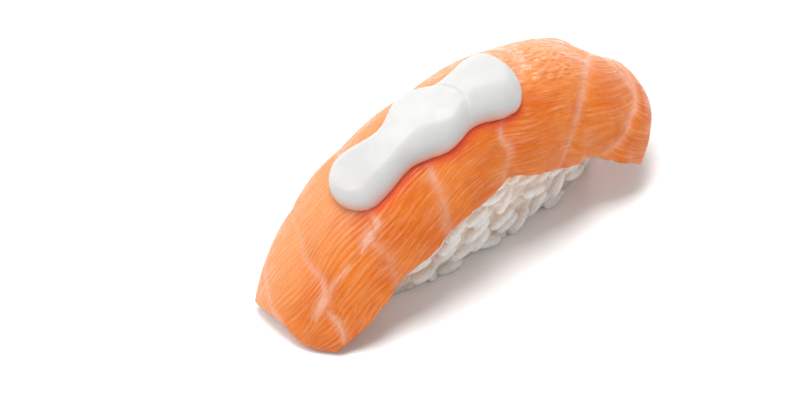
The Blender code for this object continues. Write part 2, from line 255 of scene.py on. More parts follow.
class Shader:
    """A node tree with short ways to add nodes and join them."""

    def __init__(self, tree: bpy.types.NodeTree) -> None:
        """Works on the given tree."""
        self.tree = tree

    def add(self, kind: str, inputs: dict | None = None, **settings: object) -> bpy.types.Node:
        """Adds a node.

        Args:
            kind: The node's type without its ShaderNode prefix.
            inputs: Values or output sockets for its inputs, by name or number.
            settings: Properties of the node.

        Returns:
            The node.
        """
        node = self.tree.nodes.new(kind if kind.startswith("Node") else "ShaderNode" + kind)
        for key, value in settings.items():
            setattr(node, key, value)
        self.set(node, inputs or {})
        return node

    def set(self, node: bpy.types.Node, inputs: dict) -> None:
        """Joins or sets a node's inputs, given by name or number."""
        for key, value in inputs.items():
            self.feed(node.inputs[key], value)

    def feed(self, socket: Socket, value: object) -> None:
        """Joins an output to a socket, or sets the socket's own value.

        Args:
            socket: The input socket.
            value: An output socket, or a number, colour or vector.
        """
        if isinstance(value, Socket):
            self.tree.links.new(value, socket)
        elif isinstance(value, tuple) and socket.type == "RGBA":
            socket.default_value = (*value[:3], 1)
        else:
            socket.default_value = value

    def math(self, operation: str, *values: object) -> Socket:
        """The result of a Math node."""
        return self.add("Math", dict(enumerate(values)), operation=operation).outputs[0]

    def between(self, value: object, low: float, high: float, to: tuple = (0.0, 1.0)) -> Socket:
        """A value mapped smoothly from low..high to the range given, and held inside it."""
        inputs = {"Value": value, "From Min": low, "From Max": high, "To Min": to[0], "To Max": to[1]}
        return self.add("MapRange", inputs, interpolation_type="SMOOTHSTEP").outputs[0]

    def mix(self, share: object, first: object, second: object) -> Socket:
        """Two colours mixed.

        Args:
            share: How much of the second colour, from 0 to 1.
            first: The first colour.
            second: The second colour.

        Returns:
            The mixed colour.
        """
        node = self.add("Mix", data_type="RGBA", blend_type="MIX", clamp_factor=True)
        for key, value in (("Factor_Float", share), ("A_Color", first), ("B_Color", second)):
            self.feed(next(s for s in node.inputs if s.identifier == key), value)
        return next(s for s in node.outputs if s.identifier == "Result_Color")

    def noise(self, vector: Socket, scale: object, detail: float, roughness: object = 0.5,
              distortion: float = 0.0) -> Socket:
        """The value of a Noise Texture node.

        Args:
            vector: Where it is read.
            scale: Its scale.
            detail: Its octaves.
            roughness: How much the finer octaves count.
            distortion: How much it curls.

        Returns:
            The noise, from 0 to 1.
        """
        inputs = {"Vector": vector, "Scale": scale, "Detail": detail, "Roughness": roughness,
                  "Distortion": distortion}
        return self.add("TexNoise", inputs).outputs["Fac"]

    def kept(self, name: str, output: str = "Fac") -> Socket:
        """A value that the mesh keeps for each point, or with "Vector" a vector."""
        return self.add("Attribute", attribute_name=name).outputs[output]

    def place(self) -> Socket:
        """The place on the object, in metres."""
        return self.add("TexCoord").outputs["Object"]

    def drawn_out(self, vector: Socket, by: tuple) -> Socket:
        """A vector with each of its parts multiplied, to stretch a pattern."""
        return self.add("VectorMath", {0: vector, 1: by}, operation="MULTIPLY").outputs[0]

    def bump(self, height: Socket, strength: float, distance: float, over: Socket | None = None) -> Socket:
        """The normal of a surface with low relief.

        Args:
            height: The relief, from 0 to 1.
            strength: How strongly it shows.
            distance: Its full height, in millimetres.
            over: The normal that it is laid over, if there is one.

        Returns:
            The normal.
        """
        inputs = {"Strength": strength, "Distance": distance * MM, "Height": height}
        if over is not None:
            inputs["Normal"] = over
        return self.add("Bump", inputs).outputs[0]

    def effect(self, kind: "Effect", *values: object) -> bpy.types.Node:
        """One of the shared effects, with this material's values in the order of its inputs."""
        return self.add("Group", dict(enumerate(values)), node_tree=effect_group(kind))


class Effect(Enum):
    """Effects that more than one material uses."""

    MOISTURE = "moisture"
    GRAIN = "grain"


def effect_group(kind: Effect) -> bpy.types.NodeTree:
    """The shader node group of an effect, built the first time it is asked for.

    Args:
        kind: Which effect.

    Returns:
        The node group.
    """
    if kind.value not in bpy.data.node_groups:
        tree = bpy.data.node_groups.new(kind.value, "ShaderNodeTree")
        {Effect.MOISTURE: moisture_group, Effect.GRAIN: grain_group}[kind](tree)
    return bpy.data.node_groups[kind.value]


def group_ends(tree: bpy.types.NodeTree, inputs: dict[str, float | None], outputs: Sequence[str]) -> tuple:
    """Gives a group its sockets and end nodes.

    Args:
        tree: The group.
        inputs: Each input's default number, or None for a vector.
        outputs: The names of its number outputs.

    Returns:
        The shader helper, the input node's outputs and the output node's inputs.
    """
    for name, value in inputs.items():
        kind = "NodeSocketVector" if value is None else "NodeSocketFloat"
        made = tree.interface.new_socket(name, in_out="INPUT", socket_type=kind)
        if value is not None:
            made.default_value = value
    for name in outputs:
        tree.interface.new_socket(name, in_out="OUTPUT", socket_type="NodeSocketFloat")
    shader = Shader(tree)
    return shader, shader.add("NodeGroupInput").outputs, shader.add("NodeGroupOutput").inputs


def moisture_group(tree: bpy.types.NodeTree) -> None:
    """Patches of wetter and drier surface: a mask of the wet patches and a roughness that follows it.

    Args:
        tree: The empty group. Its patch size is in millimetres.
    """
    inputs = {"Vector": None, "Patch Size": 3.0, "Dry": 0.5, "Wet": 0.25}
    s, given, out = group_ends(tree, inputs, ("Wet Mask", "Roughness"))
    broad = s.noise(given["Vector"], s.math("DIVIDE", 1 / MM, given["Patch Size"]), 2.0, 0.55)
    mask = s.between(broad, 0.38, 0.62)
    span = s.math("SUBTRACT", given["Wet"], given["Dry"])
    s.feed(out["Wet Mask"], mask)
    s.feed(out["Roughness"], s.math("MULTIPLY_ADD", mask, span, given["Dry"]))


def grain_group(tree: bpy.types.NodeTree) -> None:
    """Fine surface grain: a height for a Bump node and a mask for colour.

    Args:
        tree: The empty group. Its grain size is in millimetres.
    """
    inputs = {"Vector": None, "Grain Size": 0.5, "Softness": 0.5}
    s, given, out = group_ends(tree, inputs, ("Height", "Mask"))
    scale = s.math("DIVIDE", 1 / MM, given["Grain Size"])
    speckle = s.noise(given["Vector"], scale, 3.0, given["Softness"])
    s.feed(out["Height"], speckle)
    s.feed(out["Mask"], s.between(speckle, 0.4, 0.65))


def new_material(name: str) -> tuple[bpy.types.Material, Shader, bpy.types.Node]:
    """An empty material with its shader.

    Args:
        name: The material's name.

    Returns:
        The material, its shader helper and its Principled BSDF.
    """
    made = bpy.data.materials.new(name)
    made.use_nodes = True
    return made, Shader(made.node_tree), made.node_tree.nodes["Principled BSDF"]


@dataclass(frozen=True)
class SalmonFinish:
    """Raw salmon: orange muscle in fine fibres, pale lines of fat, and a wet surface."""

    flesh: Colour = (0.745, 0.183, 0.0150)
    deep: Colour = (0.675, 0.134, 0.00528)
    # pale: the paler fibre streaks, and also the painted highlights on the fibre ridges and the painted
    # sheen towards the back edge
    pale: Colour = (0.818, 0.37, 0.167)
    fat: Colour = (0.792, 0.44, 0.326)
    # tinted: the painted red glow and contact shade along the sauce's foot
    tinted: Colour = (0.95, 0.105, 0.035)
    long_streaks: tuple = (0.16, 2.4, 1.0)  # how far the noise is drawn out, along the fibres and across
    short_dashes: tuple = (0.45, 3.2, 1.0)
    patch_scale: float = 140.0
    grain_size: float = 0.55
    grain_softness: float = 0.6
    wet_patch: float = 3.2
    dry_roughness: float = 0.38
    wet_roughness: float = 0.24
    streak_share: float = 0.42
    # how strongly the fibre ridges are painted paler, as a painted highlight
    ridge_highlight_share: float = 0.55
    dash_share: float = 0.22
    # how much paler the slice is painted towards its back edge, as painted sheen
    back_sheen_share: float = 0.6
    # how much painted red glow and contact shade lies along the sauce's foot
    sauce_foot_glow_share: float = 0.85
    subsurface: float = 0.25
    scatter_depth: float = 2.0

    def build(self) -> bpy.types.Material:
        """The material, which reads the fibre, fat, ridge, rim, sauce and back-sheen values of the mesh.
        It paints highlights on the fibre ridges, a pale sheen towards the back edge, and contact shade with
        a red glow along the sauce's foot.

        Returns:
            The material.
        """
        made, s, shader = new_material("salmon_flesh")
        place, run = s.place(), s.kept("fibre", "Vector")
        fat, ridge, rim, sauce_foot_glow, back_sheen = map(s.kept, ("fat", "ridge", "rim", "by_sauce", "back_sheen"))
        streaks = s.noise(s.drawn_out(run, self.long_streaks), 1.0, 4.0, 0.6)
        dashes = s.noise(s.drawn_out(run, self.short_dashes), 1.0, 2.0)
        patches = s.noise(place, self.patch_scale, 2.0)
        fine = s.effect(Effect.GRAIN, place, self.grain_size, self.grain_softness)
        wet = s.effect(Effect.MOISTURE, place, self.wet_patch, self.dry_roughness, self.wet_roughness)
        # Painted highlight: the fibre ridges are painted paler, most towards the back edge, where the light
        # catches them.
        crest = s.math("MULTIPLY", s.between(ridge, -0.2, 0.8, (0.0, self.ridge_highlight_share)),
                       s.between(back_sheen, 0.0, 1.0, (0.32, 1.0)))
        fatty = s.math("MULTIPLY", fat, s.between(fine.outputs["Mask"], -0.2, 1.0, (0.75, 1.0)))
        colour = s.mix(s.between(patches, 0.36, 0.66), self.deep, self.flesh)
        colour = s.mix(s.between(streaks, 0.44, 0.7, (0.0, self.streak_share)), colour, self.pale)
        colour = s.mix(crest, colour, self.pale)
        colour = s.mix(s.between(dashes, 0.58, 0.74, (0.0, self.dash_share)), colour, self.fat)
        # Painted sheen: paler towards the back edge, where the back light glances off the wet flesh.
        colour = s.mix(s.math("MULTIPLY", back_sheen, self.back_sheen_share), colour, self.pale)
        colour = s.mix(fatty, colour, self.fat)
        # Painted contact shade and red glow along the front of the sauce's foot.
        colour = s.mix(s.math("MULTIPLY", sauce_foot_glow, self.sauce_foot_glow_share), colour, self.tinted)
        lean = s.math("SUBTRACT", 1.0, fat)
        normal = s.bump(s.math("MULTIPLY", streaks, lean), 0.5, 0.25)
        normal = s.bump(dashes, 0.3, 0.16, normal)
        normal = s.bump(fine.outputs["Height"], 0.25, 0.08, normal)
        s.set(shader, {
            "Base Color": colour,
            "Roughness": s.math("ADD", wet.outputs["Roughness"], s.between(rim, 0.0, 1.0, (-0.08, 0.0))),
            "Normal": normal,
            "Subsurface Weight": self.subsurface,
            "Subsurface Radius": (1.0, 0.32, 0.12),
            "Subsurface Scale": self.scatter_depth * MM,
            "Specular IOR Level": 0.3,
            "IOR": 1.4,
            "Coat Weight": s.between(wet.outputs["Wet Mask"], 0, 1, (0.05, 0.35)),
            "Coat Roughness": 0.14,
        })
        return made


@dataclass(frozen=True)
class RiceFinish:
    """Moist cooked rice: milky grains with painted white glints, painted shade in the gaps between them, and
    painted orange bounce light where the fish hangs near.
    """

    milky: Colour = (0.88, 0.84, 0.815)
    clear: Colour = (0.80, 0.68, 0.60)
    # between: the painted shade in the gaps between grains, darker and warmer than the grains
    between: Colour = (0.80, 0.60, 0.47)
    # painted orange light bounced from the fish onto the rice near it
    fish_bounce: Colour = (0.88, 0.46, 0.22)
    # painted white glints: fine squiggly highlights on the grains
    glint_white: Colour = (0.97, 0.96, 0.96)
    long_streaks: tuple = (0.35, 1.9, 1.9)  # how far the noise is drawn out, along the grain and across
    cloud_scale: float = 520.0
    glow_scale: float = 210.0
    glint_scale: float = 0.85
    grain_size: float = 0.7
    grain_softness: float = 0.5
    wet_patch: float = 2.4
    dry_roughness: float = 0.45
    wet_roughness: float = 0.22
    streak_share: float = 0.4
    glint_share: float = 0.7
    subsurface: float = 1.0
    scatter_depth: float = 4.5

    def build(self) -> bpy.types.Material:
        """The material, which reads each grain's random value, the place in it and how near the fish is.

        Returns:
            The material.
        """
        made, s, shader = new_material("rice_grain")
        own, raised, near_fish = map(s.kept, ("own", "raised", "near_fish"))
        place, within = s.place(), s.kept("within", "Vector")
        streaks = s.noise(s.drawn_out(within, self.long_streaks), 1.0, 3.0, 0.6)
        # Painted highlight: thin squiggly lines of white glints, which also give a little relief.
        curls = s.noise(within, self.glint_scale, 1.0, distortion=1.4)
        cloud = s.noise(place, self.cloud_scale, 2.0)
        glow = s.noise(place, self.glow_scale, 1.0)
        fine = s.effect(Effect.GRAIN, place, self.grain_size, self.grain_softness)
        wet = s.effect(Effect.MOISTURE, place, self.wet_patch, self.dry_roughness, self.wet_roughness)
        line = s.between(s.math("ABSOLUTE", s.math("SUBTRACT", curls, 0.5)), 0.0, 0.06, (1.0, 0.0))
        milk = s.math("MULTIPLY_ADD", own, 0.5, s.between(cloud, 0.35, 0.65, (0.0, 0.5)))
        colour = s.mix(milk, self.clear, self.milky)
        # Painted shade: darker and warmer in the gaps between grains, where the heap lies close to its core.
        colour = s.mix(s.between(raised, 0.0, 0.75, (0.25, 1.0)), self.between, colour)
        colour = s.mix(s.between(streaks, 0.52, 0.7, (0.0, self.streak_share)), colour, self.milky)
        colour = s.mix(s.math("MULTIPLY", line, self.glint_share), colour, self.glint_white)
        # Painted bounce light: patchy orange where the fish hangs close over the rice.
        fish_bounce_share = s.math("MULTIPLY", near_fish, s.between(glow, 0.46, 0.56, (0.3, 1.0)))
        colour = s.mix(fish_bounce_share, colour, self.fish_bounce)
        s.set(shader, {
            "Base Color": colour,
            "Roughness": wet.outputs["Roughness"],
            "Normal": s.bump(fine.outputs["Height"], 0.25, 0.1, s.bump(line, 0.4, 0.15)),
            "Subsurface Weight": self.subsurface,
            "Subsurface Radius": (1.0, 0.85, 0.75),
            "Subsurface Scale": self.scatter_depth * MM,
            "Coat Weight": s.between(wet.outputs["Wet Mask"], 0, 1, (0.1, 0.5)),
            "Coat Roughness": 0.12,
        })
        return made


@dataclass(frozen=True)
class SauceFinish:
    """Smooth white sauce with a soft gloss, with painted pink bounce light and shade from the fish along its
    foot.
    """

    white: Colour = (0.635, 0.628, 0.622)
    shaded: Colour = (0.615, 0.603, 0.593)
    # painted pink light bounced from the fish, with shade, low on the sauce's sides
    foot_bounce_pink: Colour = (0.80, 0.33, 0.24)
    foot_bounce_height: float = 2.8
    foot_bounce_share: float = 0.85
    grain_size: float = 1.1
    grain_softness: float = 0.4
    wet_patch: float = 5.0
    dry_roughness: float = 0.56
    wet_roughness: float = 0.44
    subsurface: float = 0.35
    scatter_depth: float = 1.5

    def build(self) -> bpy.types.Material:
        """The material, which reads how high above the fish each point is.

        Returns:
            The material.
        """
        made, s, shader = new_material("white_sauce")
        height, place = s.kept("height"), s.place()
        fine = s.effect(Effect.GRAIN, place, self.grain_size, self.grain_softness)
        wet = s.effect(Effect.MOISTURE, place, self.wet_patch, self.dry_roughness, self.wet_roughness)
        colour = s.mix(wet.outputs["Wet Mask"], self.shaded, self.white)
        # Painted bounce light and shade: pinker the lower a point is on the sauce, next to the fish.
        foot_bounce = s.between(height, 0.0, self.foot_bounce_height, (self.foot_bounce_share, 0.0))
        colour = s.mix(foot_bounce, colour, self.foot_bounce_pink)
        s.set(shader, {
            "Base Color": colour,
            "Roughness": wet.outputs["Roughness"],
            "Normal": s.bump(fine.outputs["Height"], 0.15, 0.08),
            "Subsurface Weight": self.subsurface,
            "Subsurface Radius": (1.0, 0.8, 0.7),
            "Subsurface Scale": self.scatter_depth * MM,
            "Coat Weight": s.between(wet.outputs["Wet Mask"], 0, 1, (0.0, 0.06)),
            "Coat Roughness": 0.3,
            "Specular IOR Level": 0.3,
        })
        return made


@dataclass(frozen=True)
class TableFinish:
    """A plain white table."""

    white: Colour = (0.97, 0.97, 0.97)
    speck: Colour = (0.9, 0.9, 0.9)
    speck_share: float = 0.02
    grain_size: float = 2.0
    grain_softness: float = 0.4

    def build(self) -> bpy.types.Material:
        """The material.

        Returns:
            The material.
        """
        made, s, shader = new_material("white_table")
        fine = s.effect(Effect.GRAIN, s.place(), self.grain_size, self.grain_softness)
        colour = s.mix(s.math("MULTIPLY", fine.outputs["Mask"], self.speck_share), self.white, self.speck)
        s.set(shader, {"Base Color": colour, "Roughness": 0.7, "Specular IOR Level": 0.2})
        return made


# ---------------------------------------------------------------- the salmon


@dataclass
class SliceForm:
    """The smooth form of the draped slice, as the frame has it.

    Each row of values runs from the low end to the wide end, but those of the two ends and of the lines of
    fat run from the front edge to the back edge. The slope, the folds and the roll are in degrees.
    """

    length: float = 95.0
    ridge_slope: tuple = (55, 42, 32, 9, -10, -25, -33)
    front_width: tuple = (14.2, 17.1, 19.5, 20.0, 20.9, 22.1, 22.8)
    back_width: tuple = (6.7, 17.1, 19.0, 21.6, 22.3)
    front_wave: tuple = (-0.2, 1.0, 0.7, -0.2, 0.3, -0.1, 0.2, 0.2, -0.9, 0.4, 0.8, 0.1, -1.4, -0.2, 0.0)
    front_scallop: float = 0.28
    scallop_step: float = 1.7
    front_fold: tuple = (41, 60, 74, 78, 64)
    back_fold: tuple = (37, 64, 86, 74, 48)
    ridge_roll: tuple = (-2.8, 0.0, -2.9)
    low_end: tuple = (0.0, -0.012, -0.012, -0.003, -0.002, -0.004, -0.007, -0.011, -0.014)
    wide_end: tuple = (1.0, 1.030, 1.056, 1.061, 1.050, 1.037, 1.02, 1.0, 0.99)
    fat_lines: tuple = (
        (0.035, 0.100, 0.130, 0.170, 0.170),
        (0.190, 0.242, 0.300, 0.330, 0.330),
        (0.345, 0.405, 0.470, 0.520, 0.520),
        (0.555, 0.602, 0.730, 0.800, 0.800),
        (0.732, 0.822, 0.935, 0.940, 0.910),
        (0.880, 0.990, 1.030, 0.990, 0.960),
    )
    dent: tuple = (2.1, 1.034, 0.29, 0.05, 0.19)  # depth, its place in u and v and its reach in each
    thick: float = 4.2
    edge_thick: float = 0.9
    edge_taper: float = 9.0
    swell: float = 0.45
    nudge: float = -0.3  # how far the slice is then moved along X, as its wide end is a little short
    box_steps: tuple = (5, 6, 6, 8, 8, 6, 4)  # the coarse grid that is set in the frame's box
    box_width_steps: int = 24
    place: np.ndarray = field(default_factory=lambda: np.zeros(3))

    def __post_init__(self) -> None:
        """Works out the ridge, then sets the slice in the frame's box."""
        self.ridge = self.ridge_line()
        u, v = self.mesh_places(self.box_steps, self.box_width_steps)
        top = self.drape(u, v, self.swell_at(u, v))
        below = self.drape(u, v, self.swell_at(u, v) - self.thickness(u, v))
        spots = np.concatenate([top.reshape(-1, 3), below.reshape(-1, 3)])
        low, high = (np.array(corner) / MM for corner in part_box("salmon"))
        self.place = (low + high) / 2 - (spots.min(axis=0) + spots.max(axis=0)) / 2
        self.place[2] = low[2] - spots[:, 2].min()
        self.place[0] += self.nudge

    def ridge_line(self) -> tuple[np.ndarray, ...]:
        """The ridge, in steps that run on a little beyond both ends.

        Returns:
            Its u, x and z, and its slope in radians.
        """
        u = np.linspace(-0.1, 1.12, 245)
        slope = np.radians(smooth(self.ridge_slope, u))
        mean = (slope[1:] + slope[:-1]) / 2
        step = (u[1] - u[0]) * self.length
        x = np.concatenate([[0], np.cumsum(np.cos(mean))]) * step
        z = np.concatenate([[0], np.cumsum(np.sin(mean))]) * step
        return u, x, z, slope

    def half_width(self, u: np.ndarray, v: np.ndarray) -> np.ndarray:
        """How far it is over the curve from the ridge to an edge.

        Args:
            u: Places along the slice.
            v: Places across it, of which only the side counts.

        Returns:
            The distances, in millimetres.
        """
        front = smooth(self.front_width, u) + smooth(self.front_wave, u)
        scallops = ripple(u * self.length / self.scallop_step, 0.5, Pattern.SLICE_EDGE)
        return np.where(v < 0, front + self.front_scallop * scallops, smooth(self.back_width, u))

    def drape(self, u: np.ndarray, v: np.ndarray, out: np.ndarray | float = 0.0) -> np.ndarray:
        """Points of the draped slice.

        Args:
            u: Places along it.
            v: Places across it.
            out: Distance out from its smooth top.

        Returns:
            The points, in millimetres.
        """
        ridge_u, ridge_x, ridge_z, ridge_slope = self.ridge
        slope = np.interp(u, ridge_u, ridge_slope)
        fold = np.radians(np.where(v < 0, smooth(self.front_fold, u), smooth(self.back_fold, u)))
        roll = np.radians(smooth(self.ridge_roll, u))
        radius = self.half_width(u, v) / fold
        turn = fold * v + roll
        y = radius * (np.sin(turn) - np.sin(roll)) + out * np.sin(turn)
        rise = radius * (np.cos(turn) - np.cos(roll)) + out * np.cos(turn)
        x = np.interp(u, ridge_u, ridge_x) - rise * np.sin(slope)
        z = np.interp(u, ridge_u, ridge_z) + rise * np.cos(slope)
        return np.stack([x, y, z], -1) + self.place

    def marks(self, v: np.ndarray) -> list[np.ndarray]:
        """The low end, each line of fat and the wide end, as u at each v."""
        t = (np.asarray(v) + 1) / 2
        return [smooth(line, t) for line in (self.low_end, *self.fat_lines, self.wide_end)]

    def mesh_places(self, band_steps: Sequence[int], width_steps: int) -> tuple[np.ndarray, np.ndarray]:
        """A grid over the slice whose rows run along the lines of fat.

        Args:
            band_steps: How many rows each band of muscle has.
            width_steps: How many steps there are from edge to edge.

        Returns:
            The grid's u and v.
        """
        v = np.linspace(-1, 1, width_steps + 1)
        marks = self.marks(v)
        rows = [marks[0][None]]
        for near, far, steps in zip(marks, marks[1:], band_steps):
            rows.append(near + (far - near) * np.linspace(0, 1, steps + 1)[1:, None])
        u = np.concatenate(rows)
        return u, np.broadcast_to(v, u.shape).copy()

    def bands(self, u: np.ndarray, v: np.ndarray) -> tuple[np.ndarray, np.ndarray]:
        """Which band of muscle each place is in.

        Args:
            u: Places along the slice.
            v: Places across it.

        Returns:
            The band's number, and how far through it the place is, from 0 to 1.
        """
        marks = self.marks(v)
        band = sum((u > mark).astype(int) for mark in marks[1:-1])
        stacked = np.stack([np.broadcast_to(mark, u.shape) for mark in marks])
        low = np.take_along_axis(stacked, band[None], 0)[0]
        high = np.take_along_axis(stacked, band[None] + 1, 0)[0]
        return band, np.clip((u - low) / (high - low), 0, 1)

    def swell_at(self, u: np.ndarray, v: np.ndarray) -> np.ndarray:
        """How far the muscle swells between its lines of fat, less a dent by the wide end.

        Args:
            u: Places along the slice.
            v: Places across it.

        Returns:
            The distances out, in millimetres.
        """
        t = self.bands(u, v)[1]
        depth, middle_u, middle_v, reach_u, reach_v = self.dent
        dent = depth * np.exp(-(((u - middle_u) / reach_u) ** 2) - ((v - middle_v) / reach_v) ** 2)
        return self.swell * (4 * t * (1 - t)) ** 0.9 - dent

    def edge_distance(self, u: np.ndarray, v: np.ndarray) -> np.ndarray:
        """How far each place lies in from the nearest edge, over the curve.

        Args:
            u: Places along the slice.
            v: Places across it.

        Returns:
            The distances, in millimetres.
        """
        t = (v + 1) / 2
        ends = np.minimum(u - smooth(self.low_end, t), smooth(self.wide_end, t) - u)
        return np.minimum((1 - np.abs(v)) * self.half_width(u, v), ends * self.length)

    def thickness(self, u: np.ndarray, v: np.ndarray) -> np.ndarray:
        """The slice's thickness, which thins towards its edges."""
        rise = np.clip(self.edge_distance(u, v) / self.edge_taper, 0, 1)
        return self.edge_thick + (self.thick - self.edge_thick) * np.sqrt(1 - (1 - rise) ** 2)


@dataclass(frozen=True)
class FatMark:
    """A line of fat that shows: the u and v it passes through, its half-width there and how white it is."""

    places: tuple
    width: tuple
    white: tuple


FAT_MARKS = (
    FatMark(
        ((1.015, 0.45), (1.037, 0.0), (1.032, -0.15),
         (1.005, -0.44), (0.974, -0.60), (0.931, -0.81), (0.885, -0.97)),
        (2.2, 2.0, 1.5, 0.8, 0.8, 0.7, 0.6),
        (0.85, 0.8, 0.7, 0.6, 0.55, 0.5, 0.4),
    ),
    FatMark(
        ((0.945, 0.60), (0.975, 0.16), (0.931, -0.03),
         (0.891, -0.18), (0.827, -0.48), (0.784, -0.69), (0.734, -0.97)),
        (0.9, 0.9, 0.8, 0.8, 0.75, 0.7, 0.6),
        (0.5, 0.6, 0.6, 0.6, 0.5, 0.4, 0.3),
    ),
    FatMark(
        ((0.80, 0.80), (0.753, 0.12), (0.70, -0.12),
         (0.602, -0.48), (0.583, -0.65), (0.590, -0.74), (0.555, -0.97)),
        (1.2, 1.3, 0.8, 0.6, 0.9, 1.0, 0.8),
        (0.5, 0.45, 0.4, 0.8, 0.45, 0.4, 0.35),
    ),
    FatMark(
        ((0.52, 0.80), (0.47, 0.1), (0.411, -0.46), (0.401, -0.57), (0.384, -0.75), (0.345, -0.97)),
        (0.9, 0.9, 0.7, 1.0, 1.2, 1.0),
        (0.5, 0.5, 0.7, 0.45, 0.4, 0.35),
    ),
    FatMark(
        ((0.33, 0.80), (0.30, 0.1), (0.268, -0.40), (0.237, -0.48),
         (0.231, -0.63), (0.226, -0.74), (0.193, -0.97)),
        (0.8, 0.8, 0.8, 1.0, 1.4, 1.4, 1.0),
        (0.4, 0.4, 0.7, 0.6, 0.4, 0.35, 0.3),
    ),
    FatMark(((0.264, -0.44), (0.232, -0.46), (0.204, -0.505)), (0.5, 1.0, 0.4), (0.9, 1.0, 0.8)),
    FatMark(
        ((0.17, 0.70), (0.155, 0.26), (0.126, -0.08),
         (0.119, -0.29), (0.102, -0.42), (0.074, -0.49), (0.048, -0.52)),
        (0.5, 0.5, 0.5, 0.6, 0.8, 1.1, 0.7),
        (0.2, 0.3, 0.4, 0.5, 0.6, 0.9, 0.5),
    ),
    FatMark(
        ((0.169, -0.48), (0.139, -0.47), (0.105, -0.47), (0.09, -0.47)),
        (0.4, 0.5, 0.6, 0.8),
        (0.5, 0.6, 0.6, 0.6),
    ),
    FatMark(
        ((0.074, -0.52), (0.061, -0.74), (0.048, -0.86), (0.03, -0.96)),
        (0.6, 0.7, 0.8, 0.6),
        (0.4, 0.7, 0.8, 0.6),
    ),
    FatMark(
        ((0.09, 0.95), (0.058, 0.76), (0.018, 0.18), (0.004, -0.08), (-0.002, -0.22)),
        (0.5, 0.6, 0.6, 0.6, 0.5),
        (0.4, 0.5, 0.5, 0.7, 0.5),
    ),
)


